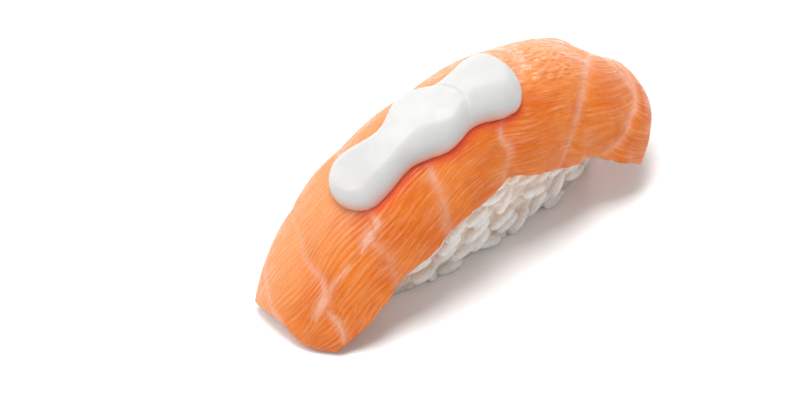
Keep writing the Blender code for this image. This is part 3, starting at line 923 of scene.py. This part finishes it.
@dataclass
class Salmon:
    """The slice of salmon: bands of fine fibres between lines of fat, with thin rounded edges."""

    form: SliceForm
    sauce: "Sauce"
    band_steps: tuple = (34, 34, 34, 46, 46, 32, 22)
    width_steps: int = 232
    rim_out: float = 0.35
    fat_height: float = 0.06
    fibre_height: float = 0.13
    near_step: float = 0.88  # from one fibre to the next, at the low end
    far_step: float = 0.72
    near_end: tuple = (0.26, 0.42)  # the u from which the low end's fibres fade, and where they are gone
    lean: tuple = (0.16, 0.10, 0.02, -0.05, 0.06, -0.10, 0.1)  # how much each band's fibres lean
    bow: tuple = (0.3, -0.2, 0.1, -0.35, 0.5, 0.7, 0.5)  # how much they bow
    lean_reach: float = 14.0
    bow_reach: float = 8.0
    crinkle_height: float = 0.24
    crinkle_middle: tuple = (0.77, 0.05)  # in u and v

    def fibre_places(self, u: np.ndarray, v: np.ndarray) -> np.ndarray:
        """Each place in the fibres' own directions.

        Args:
            u: Places along the slice.
            v: Places across it.

        Returns:
            The distance along the fibres, the distance across them, and an offset for each band.
        """
        band, t = self.form.bands(u, v)
        along = u * self.form.length
        across = v * self.form.half_width(u, v)
        lean, bow = np.array(self.lean)[band], np.array(self.bow)[band]
        bent = across + lean * (t - 0.5) * self.lean_reach
        bent = bent + bow * self.bow_reach * (t - 0.5) ** 2 * np.sign(across - 1.0)
        bent = bent + 0.5 * ripple(along / 7, across / 4 + 9 * band, Pattern.FIBRE_BEND)
        return np.stack([along, bent, 7.3 * band], -1)

    def fibre_relief(self, u: np.ndarray, v: np.ndarray) -> tuple[np.ndarray, np.ndarray]:
        """The relief of the fibres, with crinkles where the slice bends over the wide end's shoulder.

        Args:
            u: Places along the slice.
            v: Places across it.

        Returns:
            The height, in millimetres, and how much each place is a ridge, from about -1 to 1.
        """
        run, across, offset = np.moveaxis(self.fibre_places(u, v), -1, 0)
        near = 1 - fade(u, *self.near_end)
        wide = ripple(run / 11 + offset, across / 0.62, Pattern.WIDE_FIBRES)
        thin = ripple(run / 5 + offset, across / 0.34, Pattern.THIN_FIBRES)
        drift = 0.8 * ripple(run / 10 + offset, across / 2.6, Pattern.FIBRE_DRIFT)
        depth = 0.65 + 0.35 * ripple(run / 5 + offset, across / 1.1, Pattern.FIBRE_DEPTH)
        near_lines, far_lines = (
            depth * np.sin(math.tau * (across / step + drift)) for step in (self.near_step, self.far_step)
        )
        ridge = near * (0.75 * near_lines + 0.3 * wide)
        ridge = ridge + (1 - near) * (0.3 * far_lines + 0.4 * wide + 0.3 * thin)
        middle_u, middle_v = self.crinkle_middle
        crinkle = ripple(run, across / 0.6, Pattern.CRINKLES)
        crinkle = crinkle * fade(np.abs(u - middle_u), 0.15, 0.06) * fade(np.abs(v - middle_v), 0.45, 0.2)
        height = self.fibre_height * (1 - 0.3 * near) * ridge + self.crinkle_height * crinkle
        return height, ridge + 0.9 * crinkle

    def fat_at(self, u: np.ndarray, v: np.ndarray) -> np.ndarray:
        """How much of each place is fat.

        Args:
            u: Places along the slice.
            v: Places across it.

        Returns:
            The shares, from 0 to 1.
        """
        form, found = self.form, np.zeros(u.shape)
        x, y = u * form.length, v * form.half_width(u, v)
        wobble = 0.35 * ripple(x / 2.2, y / 2.2, Pattern.FAT_EDGE)
        wobble = wobble + 0.2 * ripple(x / 0.8, y / 0.8, Pattern.FAT_SPECKS)
        for mark in FAT_MARKS:
            steps = np.linspace(0, 1, 14 * len(mark.places))
            mark_u, mark_v = (smooth(values, steps) for values in zip(*mark.places))
            width, white = smooth(mark.width, steps), smooth(mark.white, steps)
            spots = np.stack([mark_u * form.length, mark_v * form.half_width(mark_u, mark_v)], -1)
            near = np.full(u.shape, np.inf)
            mark_white = np.zeros(u.shape)
            for spot, half, strength in zip(spots, width, white):
                away = np.hypot(x - spot[0], y - spot[1]) / half
                closer = away < near
                near[closer] = away[closer]
                mark_white[closer] = strength
            away = near + wobble
            core, halo = 1 - fade(away, 0.1, 1.0), 1 - fade(away, 0.2, 2.3)
            found = np.maximum(found, mark_white * (0.5 * core + 0.55 * halo))
        return np.clip(found, 0, 1)

    def outward(self, loop: list[int], u: np.ndarray, v: np.ndarray) -> np.ndarray:
        """The way out of the slice at each point of its edge, in the slice's own surface.

        Args:
            loop: The indices of the edge's points.
            u: The grid's places along the slice.
            v: The grid's places across it.

        Returns:
            Directions of length 1.
        """
        edge_u, edge_v = u.ravel()[loop], v.ravel()[loop]
        on_side = np.abs(edge_v) > 0.999
        across = self.form.drape(edge_u, edge_v * 0.96)
        along = self.form.drape(np.where(edge_u > 0.5, edge_u - 0.02, edge_u + 0.02), edge_v)
        out = self.form.drape(edge_u, edge_v) - np.where(on_side[:, None], across, along)
        return out / np.linalg.norm(out, axis=1, keepdims=True)

    def faces(self, rows: int, columns: int) -> Faces:
        """The slice's faces. Its underside and the lower edge of its rim have half the top's steps.

        Args:
            rows: Number of rows of points on the top.
            columns: Number of points in a row.

        Returns:
            The faces of the top, the rim and the underside, as indices.
        """
        low_rows, low_columns = (rows + 1) // 2, (columns + 1) // 2
        loop, low_loop = perimeter(rows, columns), perimeter(low_rows, low_columns)
        count = len(loop)
        rim, low = rows * columns, rows * columns + count
        faces = grid_faces(rows, columns)
        for i in range(count):
            k = (i + 1) % count
            faces.append((loop[i], loop[k], rim + k, rim + i))
        for i in range(len(low_loop)):
            a, b = low + low_loop[i], low + low_loop[(i + 1) % len(low_loop)]
            p, q, r = (rim + (2 * i + step) % count for step in range(3))
            faces += [(p, q, a), (q, b, a), (q, r, b)]
        return faces + [tuple(reversed(face)) for face in grid_faces(low_rows, low_columns, start=low)]

    def build(self) -> bpy.types.Object:
        """The slice as one closed mesh: its top, its underside and a rounded rim between them.

        Returns:
            The slice, with the values that its finish reads.
        """
        form = self.form
        u, v = form.mesh_places(self.band_steps, self.width_steps)
        loop, inside = perimeter(*u.shape), form.edge_distance(u, v)
        relief, ridge = self.fibre_relief(u, v)
        fat, swell = self.fat_at(u, v), form.swell_at(u, v)
        relief = relief * fade(inside, 0.1, 1.5) * (1 - 0.5 * fat) + self.fat_height * fat
        top = form.drape(u, v, swell + relief)
        below = form.drape(u[::2, ::2], v[::2, ::2], (swell - form.thickness(u, v))[::2, ::2])
        rim = form.drape(u.ravel()[loop], v.ravel()[loop], swell.ravel()[loop] - form.edge_thick / 2)
        rim += self.outward(loop, u, v) * self.rim_out
        points = np.concatenate([top.reshape(-1, 3), rim, below.reshape(-1, 3)])
        made = make_object("salmon_slice", points, self.faces(*u.shape))

        def everywhere(values: np.ndarray) -> np.ndarray:
            """The grid's values at the points of the top, then of the rim, then of the underside."""
            flat = values.reshape(u.size, *values.shape[2:])
            return np.concatenate([flat, flat[loop], values[::2, ::2].reshape(-1, *values.shape[2:])])

        store(made, "fibre", everywhere(self.fibre_places(u, v)))
        store(made, "fat", everywhere(fat))
        store(made, "ridge", everywhere(ridge))
        store(made, "rim", everywhere(fade(inside, 0.0, 3.0)))
        # How near the sauce's front edge each point is, where the material paints contact shade and a red
        # glow.
        store(made, "by_sauce", everywhere(self.sauce.nearness(u, v)))
        # Painted sheen: how far towards the back edge each point is, for the material to paint it paler.
        store(made, "back_sheen", everywhere(fade(v, -0.5, 0.25)))
        return made

    def dress(self, obj: bpy.types.Object) -> None:
        """Gives the slice its material and its place in the frame.

        Args:
            obj: The slice.
        """
        obj.data.materials.append(SalmonFinish().build())
        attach(obj, "root")
        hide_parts("salmon")


# ---------------------------------------------------------------- the sauce


@dataclass(frozen=True)
class Lobe:
    """One lobe of the ribbon: its height, where it starts, stands highest and ends, and how squarely."""

    height: float
    start: float
    middle: float
    end: float
    rise: float
    fall: float

    def height_at(self, t: np.ndarray) -> np.ndarray:
        """The lobe's height at each place along the ribbon.

        Args:
            t: Places along the ribbon, from 0 to 1.

        Returns:
            The heights, in millimetres.
        """
        before = np.clip((self.middle - t) / (self.middle - self.start), 0, 1) ** self.rise
        after = np.clip((t - self.middle) / (self.end - self.middle), 0, 1) ** self.fall
        return self.height * (1 - before - after) ** 0.42


@dataclass
class Sauce:
    """The ribbon of white sauce on the ridge: three lobes, each laid down partly over the next."""

    form: SliceForm
    start: float = 0.2495
    end: float = 0.682
    cap: float = 0.055
    front: tuple = (-0.266, -0.327, -0.322, -0.428, -0.392, -0.448, -0.349)
    back: tuple = (0.317, 0.275, 0.109, 0.244, 0.116, 0.179, 0.192)
    near_lobe: Lobe = Lobe(3.3, -0.175, 0.155, 0.485, 4.0, 4.0)
    middle_lobe: Lobe = Lobe(4.3, 0.10, 0.44, 0.725, 2.2, 6.0)
    far_lobe: Lobe = Lobe(4.5, 0.53, 0.86, 1.19, 2.2, 2.2)
    bow: tuple = (0.083, 0.1)  # how far the near lobes bow round the far one, and from where across
    soft_join: int = 7
    sharp_join: int = 30
    groove: tuple = (0.3, 0.681, 0.0075)  # depth, place and width of the line where the lobes meet
    front_shoulder: tuple = (0.42, 0.45, 0.40, 0.22, 0.48, 0.15, 0.25, 0.25)  # where that side turns down
    back_shoulder: float = 0.5
    flatness: tuple = (0.0, 0.2, 0.6, 0.7, 0.7)
    gap: float = 0.12
    top_ripple: float = 0.1
    steps: int = 150
    cap_steps: int = 24
    rings: int = 34
    weld_gap: float = 0.004

    def edges(self, t: np.ndarray) -> tuple[np.ndarray, np.ndarray]:
        """The ribbon's front and back edge, as v."""
        return smooth(self.front, t), smooth(self.back, t)

    def along(self, u: np.ndarray) -> np.ndarray:
        """Places along the ribbon, from 0 to 1, from places along the slice."""
        return (u - self.start) / (self.end - self.start)

    def cap_turns(self) -> np.ndarray:
        """The angles round a quarter of an end."""
        return np.radians(90 * np.arange(self.cap_steps) / self.cap_steps)

    def reach(self) -> np.ndarray:
        """How much of the ribbon's full half-width each point of an edge has, less round the ends."""
        turns = self.cap_turns()
        return np.concatenate([np.sin(turns), np.ones(self.steps + 1), np.sin(turns[::-1])])

    def side(self, side: int) -> np.ndarray:
        """One edge of the ribbon, from the low end on.

        Args:
            side: -1 for the front and 1 for the back.

        Returns:
            Each point's u and v, and the u and v of the middle line's point inside it.
        """
        turns = self.cap_turns()
        low, wide = self.start + self.cap, self.end - self.cap
        straight = np.linspace(low, wide, self.steps + 1)
        u = np.concatenate([low - self.cap * np.cos(turns), straight, wide + self.cap * np.cos(turns[::-1])])
        middle_u = np.clip(u, low, wide)
        front, back = self.edges(self.along(middle_u))
        middle_v = (front + back) / 2
        return np.stack([u, middle_v + side * self.reach() * (back - front) / 2, middle_u, middle_v])

    def crest(self, t: np.ndarray, across: np.ndarray) -> np.ndarray:
        """How high the lobes stand along the ribbon, with a crease where one ends on the next.

        Args:
            t: Places along the ribbon, from 0 to 1.
            across: Places across it, from -1 at its front edge to 1 at its back edge.

        Returns:
            The heights, in millimetres.
        """
        bow, bow_middle = self.bow
        bowed = t + bow * (across + bow_middle) ** 2
        near, middle = (lobe.height_at(bowed) for lobe in (self.near_lobe, self.middle_lobe))
        far = self.far_lobe.height_at(t)
        blended = (near**self.soft_join + middle**self.soft_join) ** (1 / self.soft_join)
        depth, meeting, width = self.groove
        line = depth * np.exp(-(((bowed - meeting) / width) ** 2)) * (1 - fade(-across, 0.1, 0.8))
        return (blended**self.sharp_join + far**self.sharp_join) ** (1 / self.sharp_join) - line

    def section(self, t: np.ndarray, side: np.ndarray, ring: float) -> np.ndarray:
        """The cross-section's height as a part of the lobe's: flat on top, then down from its shoulder.

        Args:
            t: Places along the ribbon, from 0 to 1.
            side: Which side each is on, from -1 at the front to 1 at the back.
            ring: How far out it is, from 0 on the middle line to 1 at the edge.

        Returns:
            The share, from 0 to 1.
        """
        front = smooth(self.front_shoulder, t)
        shoulder = front + (self.back_shoulder - front) * (side + 1) / 2
        down = np.clip((ring - shoulder) / (1 - shoulder), 0, 1)
        return np.clip(1 - down**1.35, 0, 1) ** 0.6

    def nearness(self, u: np.ndarray, v: np.ndarray) -> np.ndarray:
        """How near each place on the slice is to the sauce's front edge.

        Args:
            u: Places along the slice.
            v: Places across it.

        Returns:
            The nearness, from 0 to 1.
        """
        t = self.along(u)
        front, _ = self.edges(np.clip(t, 0, 1))
        away = (front - v) * self.form.half_width(u, v)
        beside = fade(t, -0.02, 0.1) * (1 - fade(t, 0.9, 1.02))
        return (1 - fade(away, 0.0, 2.5)) * fade(away, -2.0, -0.5) * beside

    def build(self) -> bpy.types.Object:
        """The ribbon: domed rings from its edge up to its middle line, over a foot that follows the slice.

        Returns:
            The ribbon, with each point's height above the fish.
        """
        form = self.form
        front, back = self.side(-1), self.side(1)
        u, v, middle_u, middle_v = np.concatenate([front[:, :-1], back[:, :0:-1]], axis=1)
        reach = np.concatenate([self.reach()[:-1], self.reach()[:0:-1]])
        side = reach * np.where(v < middle_v, -1.0, 1.0)
        top, foot, heights = [], [], []
        for k in range(self.rings + 1):
            ring = math.sin(math.radians(90 * k / self.rings))
            ring_u = middle_u + (u - middle_u) * ring
            ring_v = middle_v + (v - middle_v) * ring
            t, place = self.along(ring_u), side * ring
            swell, section = form.swell_at(ring_u, ring_v), self.section(t, side, ring)
            dome = (self.crest(t, place) + smooth(self.flatness, t) * place**2) * section
            dome = dome + (form.swell - swell) * np.minimum(2 * section, 1)
            fading = min(3 * max(1 - ring**3, 0), 1)
            dome = dome + self.top_ripple * ripple(t * 9, place * 2, Pattern.SAUCE_TOP) * fading
            foot.append(form.drape(ring_u, ring_v, swell + self.gap))
            top.append(form.drape(ring_u, ring_v, swell + self.gap + dome))
            heights.append(dome)
        faces = grid_faces(self.rings + 1, len(u), closed=True)
        below = (self.rings + 1) * len(u)
        faces += [tuple(below + i for i in reversed(face)) for face in faces]
        made = make_object("sauce_ribbon", np.concatenate(top + foot), faces)
        store(made, "height", np.concatenate([*heights, *[np.zeros(len(u))] * len(foot)]))
        self.weld(made)
        return made

    def weld(self, obj: bpy.types.Object) -> None:
        """Joins the points that coincide on the middle line and at the edge."""
        obj.modifiers.new("weld", "WELD").merge_threshold = self.weld_gap * MM
        apply_modifiers(obj)

    def dress(self, obj: bpy.types.Object) -> None:
        """Gives the sauce its material and its place in the frame.

        Args:
            obj: The ribbon.
        """
        obj.data.materials.append(SauceFinish().build())
        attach(obj, "root")
        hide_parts("sauce")


# ---------------------------------------------------------------- the rice


@dataclass(frozen=True)
class GrainPlace:
    """Where a grain goes: its middle, its direction, the way out of the heap there, and its size."""

    middle: np.ndarray
    axis: np.ndarray
    outward: np.ndarray
    size: np.ndarray


@dataclass(frozen=True)
class Grain:
    """A grain that is laid: its points, its middle, its own three directions, and a random value."""

    points: np.ndarray
    middle: np.ndarray
    directions: np.ndarray
    own: float


@dataclass
class Rice:
    """The finger of rice: a core, and grains of true size packed over it."""

    form: SliceForm
    middle: tuple = (-1.03, -1.25)
    half_length: float = 33.0
    half_width: float = 9.7
    plan_power: float = 2.6
    lean: float = 1.6
    top: float = 31.0
    end_top: float = 8.0
    grain_length: float = 6.2
    grain_width: float = 2.85
    grain_spread: tuple = (0.88, 1.08)
    grain_bow: float = 0.1
    rings: int = 9
    sides: int = 9
    layers: tuple = (0.0, -0.9)  # how far out each layer of grains lies
    tries: int = 5000
    wall_heights: tuple = (0.9, 27.0)
    tilt: tuple = (0.35, 0.35)  # the mean and the spread of how steeply grains lie, in radians
    heel: float = 0.12
    stagger: tuple = (-0.2, 0.25)
    room: float = 0.64  # how close grains lie, as a part of a grain's width
    clearance: float = 0.1
    lowest: float = 0.6
    foot_steps: tuple = (3.9, 2.0)
    foot_height: float = 0.75
    core_grow: float = -0.25
    core_drop: float = 0.9
    core_foot: float = 0.15
    core_sides: int = 120
    wall_levels: int = 14
    roof_levels: int = 8
    skin: float = 0.23
    kept_faces: float = 0.6
    seed: int = 41

    def __post_init__(self) -> None:
        """Keeps the slice's underside, for the rice to stay below."""
        form = self.form
        v, u = np.meshgrid(np.linspace(-1, 1, 141), np.linspace(-0.02, 1.07, 281))
        inside = form.edge_distance(u, v) > 0
        u, v = u[inside], v[inside]
        self.under = form.drape(u, v, form.swell_at(u, v) - form.thickness(u, v))
        self.tree = KDTree(len(self.under))
        self.flat = KDTree(len(self.under))
        for i, spot in enumerate(self.under):
            self.tree.insert(spot, i)
            self.flat.insert((spot[0], spot[1], 0), i)
        self.tree.balance()
        self.flat.balance()

    def outline(self, turn: np.ndarray, grow: np.ndarray | float = 0.0) -> np.ndarray:
        """The loaf's outline from above.

        Args:
            turn: Angles round it, in radians.
            grow: How much further out it stands.

        Returns:
            Its x and y.
        """
        c, s = np.cos(turn), np.sin(turn)
        power = 2 / self.plan_power
        x = (self.half_length + np.minimum(grow, 0)) * np.sign(c) * np.abs(c) ** power
        y = (self.half_width + grow) * np.sign(s) * np.abs(s) ** power
        return np.stack([x + self.middle[0], y + self.middle[1]], -1)

    def roof(self, x: float, y: float) -> float:
        """The height of the slice's underside over a place, or of the bare loaf where there is no slice.

        Args:
            x: The place along the piece.
            y: The place across it.

        Returns:
            The height, in millimetres.
        """
        along = min(abs(x - self.middle[0]) / self.half_length, 1)
        dome = self.end_top + (self.top - self.end_top) * math.sqrt(1 - along**2)
        near = [self.under[i][2] for _, i, _ in self.flat.find_range((x, y, 0), 1.0)]
        return min([dome, *near])

    def core(self) -> tuple[np.ndarray, Faces]:
        """The inside of the loaf, a little smaller than the grains on it.

        Returns:
            Its points, in rings from the foot up the wall and in over the roof, and its faces.
        """
        count, foot, drop = self.core_sides, self.core_foot, self.core_drop
        turn = np.linspace(0, 2 * math.pi, count, endpoint=False)
        brim = self.outline(turn, self.lean + self.core_grow)
        tops = np.array([self.roof(x, y) for x, y in brim]) - drop
        rings = []
        for k in range(self.wall_levels + 1):
            f = k / self.wall_levels
            plan = self.outline(turn, self.lean * f * f + self.core_grow)
            rings.append(np.column_stack([plan, foot + (tops * 0.9 - foot) * f]))
        for k in range(1, self.roof_levels):
            plan = (brim - self.middle) * math.cos(math.radians(90 * k / self.roof_levels)) + self.middle
            rings.append(np.column_stack([plan, np.array([self.roof(x, y) for x, y in plan]) - drop]))
        peak = (*self.middle, self.roof(*self.middle) - drop)
        points = np.vstack([*rings, peak, (*self.middle, foot)])
        faces = [tuple(reversed(face)) for face in grid_faces(len(rings), count, closed=True)]
        last, total = (len(rings) - 1) * count, len(rings) * count
        for j in range(count):
            k = (j + 1) % count
            faces += [(last + j, last + k, total), (k, j, total + 1)]
        return points, faces

    def grain_shape(self) -> tuple[np.ndarray, Faces]:
        """A plump grain with rounded ends, of length and width 1, that lies along X.

        Returns:
            Its points and faces.
        """
        points, faces = [], grid_faces(self.rings, self.sides, closed=True)
        for i in range(self.rings):
            a = math.pi * (i + 0.5) / self.rings
            radius = 0.5 * math.sin(a) ** 0.62
            for j in range(self.sides):
                b = 2 * math.pi * j / self.sides
                points.append((-0.5 * math.cos(a), radius * math.cos(b), radius * math.sin(b) * 0.92))
        points += [(-0.5, 0, 0), (0.5, 0, 0)]
        last, count = (self.rings - 1) * self.sides, self.rings * self.sides
        for j in range(self.sides):
            k = (j + 1) % self.sides
            faces += [(j, k, count), (last + k, last + j, count + 1)]
        return np.array(points), faces

    def grain_size(self) -> np.ndarray:
        """A grain's mean length, width and height."""
        return np.array([self.grain_length, self.grain_width, self.grain_width])

    def wall_places(self, rng: np.random.Generator) -> Iterator[GrainPlace]:
        """Where the grains go on the wall: each is laid where it finds room beside those laid before.

        Args:
            rng: The seeded random source.

        Yields:
            The place of each grain.
        """
        fine = self.outline(np.linspace(0, 2 * math.pi, 721))
        run = np.concatenate([[0], np.cumsum(np.linalg.norm(np.diff(fine, axis=0), axis=1))])
        for depth in self.layers:
            laid = np.full((1, 3), 1e3)
            for _ in range(self.tries):
                at, z = rng.uniform(0, run[-1]), rng.uniform(*self.wall_heights)
                size = self.grain_size() * rng.uniform(*self.grain_spread, 3)
                tilt, heel = rng.normal(*self.tilt), rng.uniform(-self.heel, self.heel)
                k = min(np.searchsorted(run, at, side="right") - 1, len(fine) - 2)
                x, y = fine[k] + (fine[k + 1] - fine[k]) * (at - run[k]) / (run[k + 1] - run[k])
                top = self.roof(x, y)
                if z > top - 0.4:
                    continue
                along = np.append(fine[k + 1] - fine[k], 0.0)
                along /= np.linalg.norm(along)
                outward = np.array([along[1], -along[0], 0.0])
                y += (y - self.middle[1]) * self.lean / self.half_width * (z / max(top, 6)) ** 2
                axis = along * math.cos(tilt) + np.array([0.0, 0.0, math.sin(tilt)]) + outward * heel
                axis /= np.linalg.norm(axis)
                spot = np.array([x, y, z]) + outward * (depth + rng.uniform(*self.stagger))
                chain = spot + np.outer((-0.34, 0.0, 0.34), axis) * size[0]
                if np.linalg.norm(chain[:, None] - laid, axis=-1).min() < self.room * size[1]:
                    continue
                if chain[:, 2].min() < self.lowest or not self.clears(chain, size[1] / 2 + self.clearance):
                    continue
                laid = np.vstack([laid, chain])
                yield GrainPlace(spot, axis, outward, size)

    def foot_places(self, rng: np.random.Generator) -> Iterator[GrainPlace]:
        """Where the grains go on the flat foot.

        Args:
            rng: The seeded random source.

        Yields:
            The place of each grain.
        """
        step_x, step_y = self.foot_steps
        for x in np.arange(-self.half_length + 3, self.half_length - 2, step_x):
            for y in np.arange(-self.half_width + 1.6, self.half_width - 1, step_y):
                spot = np.array([x + rng.uniform(-1, 1), y + rng.uniform(-0.6, 0.6), self.foot_height])
                turn = rng.uniform(0, 2 * math.pi)
                along = np.array([math.cos(turn), math.sin(turn), 0.0])
                out_x, out_y = abs(x) / self.half_length, abs(y) / self.half_width
                if out_x**self.plan_power + out_y**self.plan_power < 0.7:
                    size = self.grain_size() * rng.uniform(*self.grain_spread, 3)
                    yield GrainPlace(spot + (*self.middle, 0), along, np.array([0.0, 0.0, -1.0]), size)

    def clears(self, points: np.ndarray, room: float) -> bool:
        """Whether points stay clear of the slice's underside and below it.

        Args:
            points: The points.
            room: How far they have to stay from it.

        Returns:
            Whether all of them do.
        """
        for point in points:
            if self.tree.find(point)[2] < room:
                return False
            _, k, sideways = self.flat.find((point[0], point[1], 0))
            if sideways < 1.0 and point[2] > self.under[k][2]:
                return False
        return True

    def lay(self, place: GrainPlace, shape: np.ndarray, rng: np.random.Generator) -> Grain:
        """One grain in its place, a little bowed and flat where it meets the floor.

        Args:
            place: Where it goes.
            shape: The plain grain's points.
            rng: The seeded random source.

        Returns:
            The grain.
        """
        third = np.cross(place.axis, place.outward)
        third /= np.linalg.norm(third)
        directions = np.stack([place.axis, np.cross(third, place.axis), third])
        bent = shape * place.size
        bow = rng.uniform(-self.grain_bow, self.grain_bow) * place.size[0]
        bent[:, 1] += bow * (2 * shape[:, 0] ** 2 - 0.2)
        points = bent @ directions + place.middle
        points[:, 2] = np.maximum(points[:, 2], 0.02)
        return Grain(points, place.middle, directions, rng.uniform(0, 1))

    def build(self) -> bpy.types.Object:
        """The core with the grains packed over it, fused into one skin.

        Returns:
            The heap, with the values that its finish reads.
        """
        rng = np.random.default_rng(self.seed)
        shape, shape_faces = self.grain_shape()
        places = (*self.wall_places(rng), *self.foot_places(rng))
        grains = [self.lay(place, shape, rng) for place in places]
        log.info("rice: %d grains", len(grains))
        core, core_faces = self.core()
        parts = [(shape_faces, n * len(shape)) for n in range(len(grains))]
        parts.append((core_faces, len(grains) * len(shape)))
        faces = [tuple(first + i for i in face) for part, first in parts for face in part]
        heap = make_object("rice_heap", np.vstack([*(grain.points for grain in grains), core]), faces)
        self.fuse(heap)
        self.keep_values(heap, grains, BVHTree.FromPolygons(core.tolist(), core_faces))
        return heap

    def fuse(self, heap: bpy.types.Object) -> None:
        """Joins grains and core into one skin, softly, as sticky rice holds together.

        Args:
            heap: The grains and the core.
        """
        fuse = heap.modifiers.new("fuse", "REMESH")
        fuse.mode, fuse.voxel_size, fuse.use_smooth_shade = "VOXEL", self.skin * MM, True
        soften = heap.modifiers.new("soften", "SMOOTH")
        soften.factor, soften.iterations = 0.5, 1
        heap.modifiers.new("thin", "DECIMATE").ratio = self.kept_faces
        apply_modifiers(heap)

    def keep_values(self, heap: bpy.types.Object, grains: Sequence[Grain], core: BVHTree) -> None:
        """Keeps what the finish reads at each point of the heap.

        That is the random value of its grain, its place in that grain, how far it stands out of the core
        and how near the fish is.

        Args:
            heap: The fused heap.
            grains: The grains that were laid.
            core: The surface of the core.
        """
        nearest = KDTree(sum(len(grain.points) for grain in grains))
        for i, grain in enumerate(grains):
            for spot in grain.points:
                nearest.insert(spot, i)
        nearest.balance()
        spots = np.empty(len(heap.data.vertices) * 3, np.float32)
        heap.data.vertices.foreach_get("co", spots)
        spots = spots.reshape(-1, 3) / MM
        which = np.array([nearest.find(spot)[1] for spot in spots])
        middles, directions, own = (
            np.array(values)[which] for values in zip(*((g.middle, g.directions, g.own) for g in grains))
        )
        within = np.einsum("nij,nj->ni", directions, spots - middles)
        raised = np.array([core.find_nearest(spot)[3] for spot in spots])
        from_fish = np.array([self.tree.find(spot)[2] for spot in spots])
        store(heap, "own", own)
        store(heap, "within", within + own[:, None] * 50)
        store(heap, "raised", fade(raised, 0.2, 1.5))
        store(heap, "near_fish", 1 - fade(from_fish, 0.5, 7.0))

    def dress(self, obj: bpy.types.Object) -> None:
        """Gives the rice its material and its place in the frame.

        Args:
            obj: The heap.
        """
        obj.data.materials.append(RiceFinish().build())
        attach(obj, "root")
        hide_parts("rice")


# ---------------------------------------------------------------- the studio


def aim(obj: bpy.types.Object, azimuth: float, elevation: float, distance: float,
        target: Sequence[float]) -> None:
    """Stands a lamp or the camera where it looks at a point.

    Args:
        obj: The lamp or the camera.
        azimuth: Where it stands round the point, in degrees from the front towards the wide end.
        elevation: How steeply it looks down, in degrees.
        distance: How far off it stands, in metres.
        target: The point, in millimetres.
    """
    a, e = math.radians(azimuth), math.radians(elevation)
    way = Vector((math.sin(a) * math.cos(e), -math.cos(a) * math.cos(e), math.sin(e)))
    obj.location = Vector(target) * MM + way * distance
    obj.rotation_euler = way.to_track_quat("Z", "Y").to_euler()


@dataclass(frozen=True)
class SoftLight:
    """A soft panel of light that looks at the sushi from a distance in metres."""

    name: str
    azimuth: float
    elevation: float
    distance: float
    size: tuple[float, float]
    power: float
    colour: Colour = (1.0, 1.0, 1.0)

    def build(self) -> bpy.types.Object:
        """The light, in the scene.

        Returns:
            The light.
        """
        lamp = bpy.data.lights.new(self.name, "AREA")
        lamp.shape, lamp.size, lamp.size_y = "RECTANGLE", *self.size
        lamp.energy, lamp.color = self.power, self.colour
        made = bpy.data.objects.new(self.name, lamp)
        bpy.context.scene.collection.objects.link(made)
        aim(made, self.azimuth, self.elevation, self.distance, (0.0, 0.0, 0.0))
        return made


@dataclass(frozen=True)
class Studio:
    """The white table, the light and the camera."""

    table_reach: float = 2000.0
    sky: float = 0.44
    sky_colour: Colour = (0.96, 1.0, 1.01)
    target: tuple = (-2.43, -1.25, 11.39)
    azimuth: float = -40.6
    elevation: float = 43.56
    distance: float = 0.399
    lens: float = 95.46
    sensor: float = 36.0
    shift: tuple = (-0.0525, -0.0254)
    clip: tuple = (0.01, 10.0)
    lights: tuple = (
        SoftLight("key", 165.0, 84.0, 0.9, (0.42, 0.42), 6.1, (1.0, 0.995, 0.985)),
        SoftLight("window", 243.0, 53.0, 0.9, (0.6, 0.6), 2.9),
        SoftLight("card", 20.0, 28.0, 0.9, (0.16, 0.16), 0.25),
        SoftLight("far_side", 134.0, 22.0, 0.9, (0.25, 0.25), 1.2),
    )

    def build(self) -> None:
        """Sets up the table, the sky, the lights and the camera."""
        self.table()
        world = bpy.data.worlds.new("studio")
        bpy.context.scene.world = world
        world.use_nodes = True
        background = world.node_tree.nodes["Background"]
        background.inputs["Color"].default_value = (*self.sky_colour, 1)
        background.inputs["Strength"].default_value = self.sky
        for light in self.lights:
            light.build()
        bpy.context.scene.view_settings.view_transform = "Standard"
        self.camera()

    def table(self) -> None:
        """The white table, as stage."""
        far = self.table_reach
        corners = np.array([(-far, -far, 0), (far, -far, 0), (far, far, 0), (-far, far, 0)])
        table = make_object("table", corners, [(0, 1, 2, 3)])
        table.data.materials.append(TableFinish().build())
        table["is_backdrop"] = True

    def camera(self) -> None:
        """The camera at the photograph's angle."""
        lens = bpy.data.cameras.new("camera")
        lens.lens, lens.sensor_width, lens.sensor_fit = self.lens, self.sensor, "HORIZONTAL"
        lens.shift_x, lens.shift_y = self.shift
        lens.clip_start, lens.clip_end = self.clip
        made = bpy.data.objects.new("camera", lens)
        bpy.context.scene.collection.objects.link(made)
        aim(made, self.azimuth, self.elevation, self.distance, self.target)
        bpy.context.scene.camera = made


def write_size() -> None:
    """Works out the frame's box and the finished model's box as lists of numbers, and leaves them unused."""
    boxes = {"cad": CAD_BOX, "visual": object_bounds()}
    plain = {name: [[float(x) for x in corner] for corner in box] for name, box in boxes.items()}


def main() -> None:
    """Builds and dresses each piece in order."""
    logging.basicConfig(level=logging.INFO, format="%(name)s: %(message)s")
    form = SliceForm()
    sauce = Sauce(form)
    for part in (Salmon(form, sauce), sauce, Rice(form)):
        piece = part.build()
        part.dress(piece)
        log.info("%s: %d faces", piece.name, len(piece.data.polygons))
    Studio().build()
    write_size()


if __name__ == "__main__":
    main()
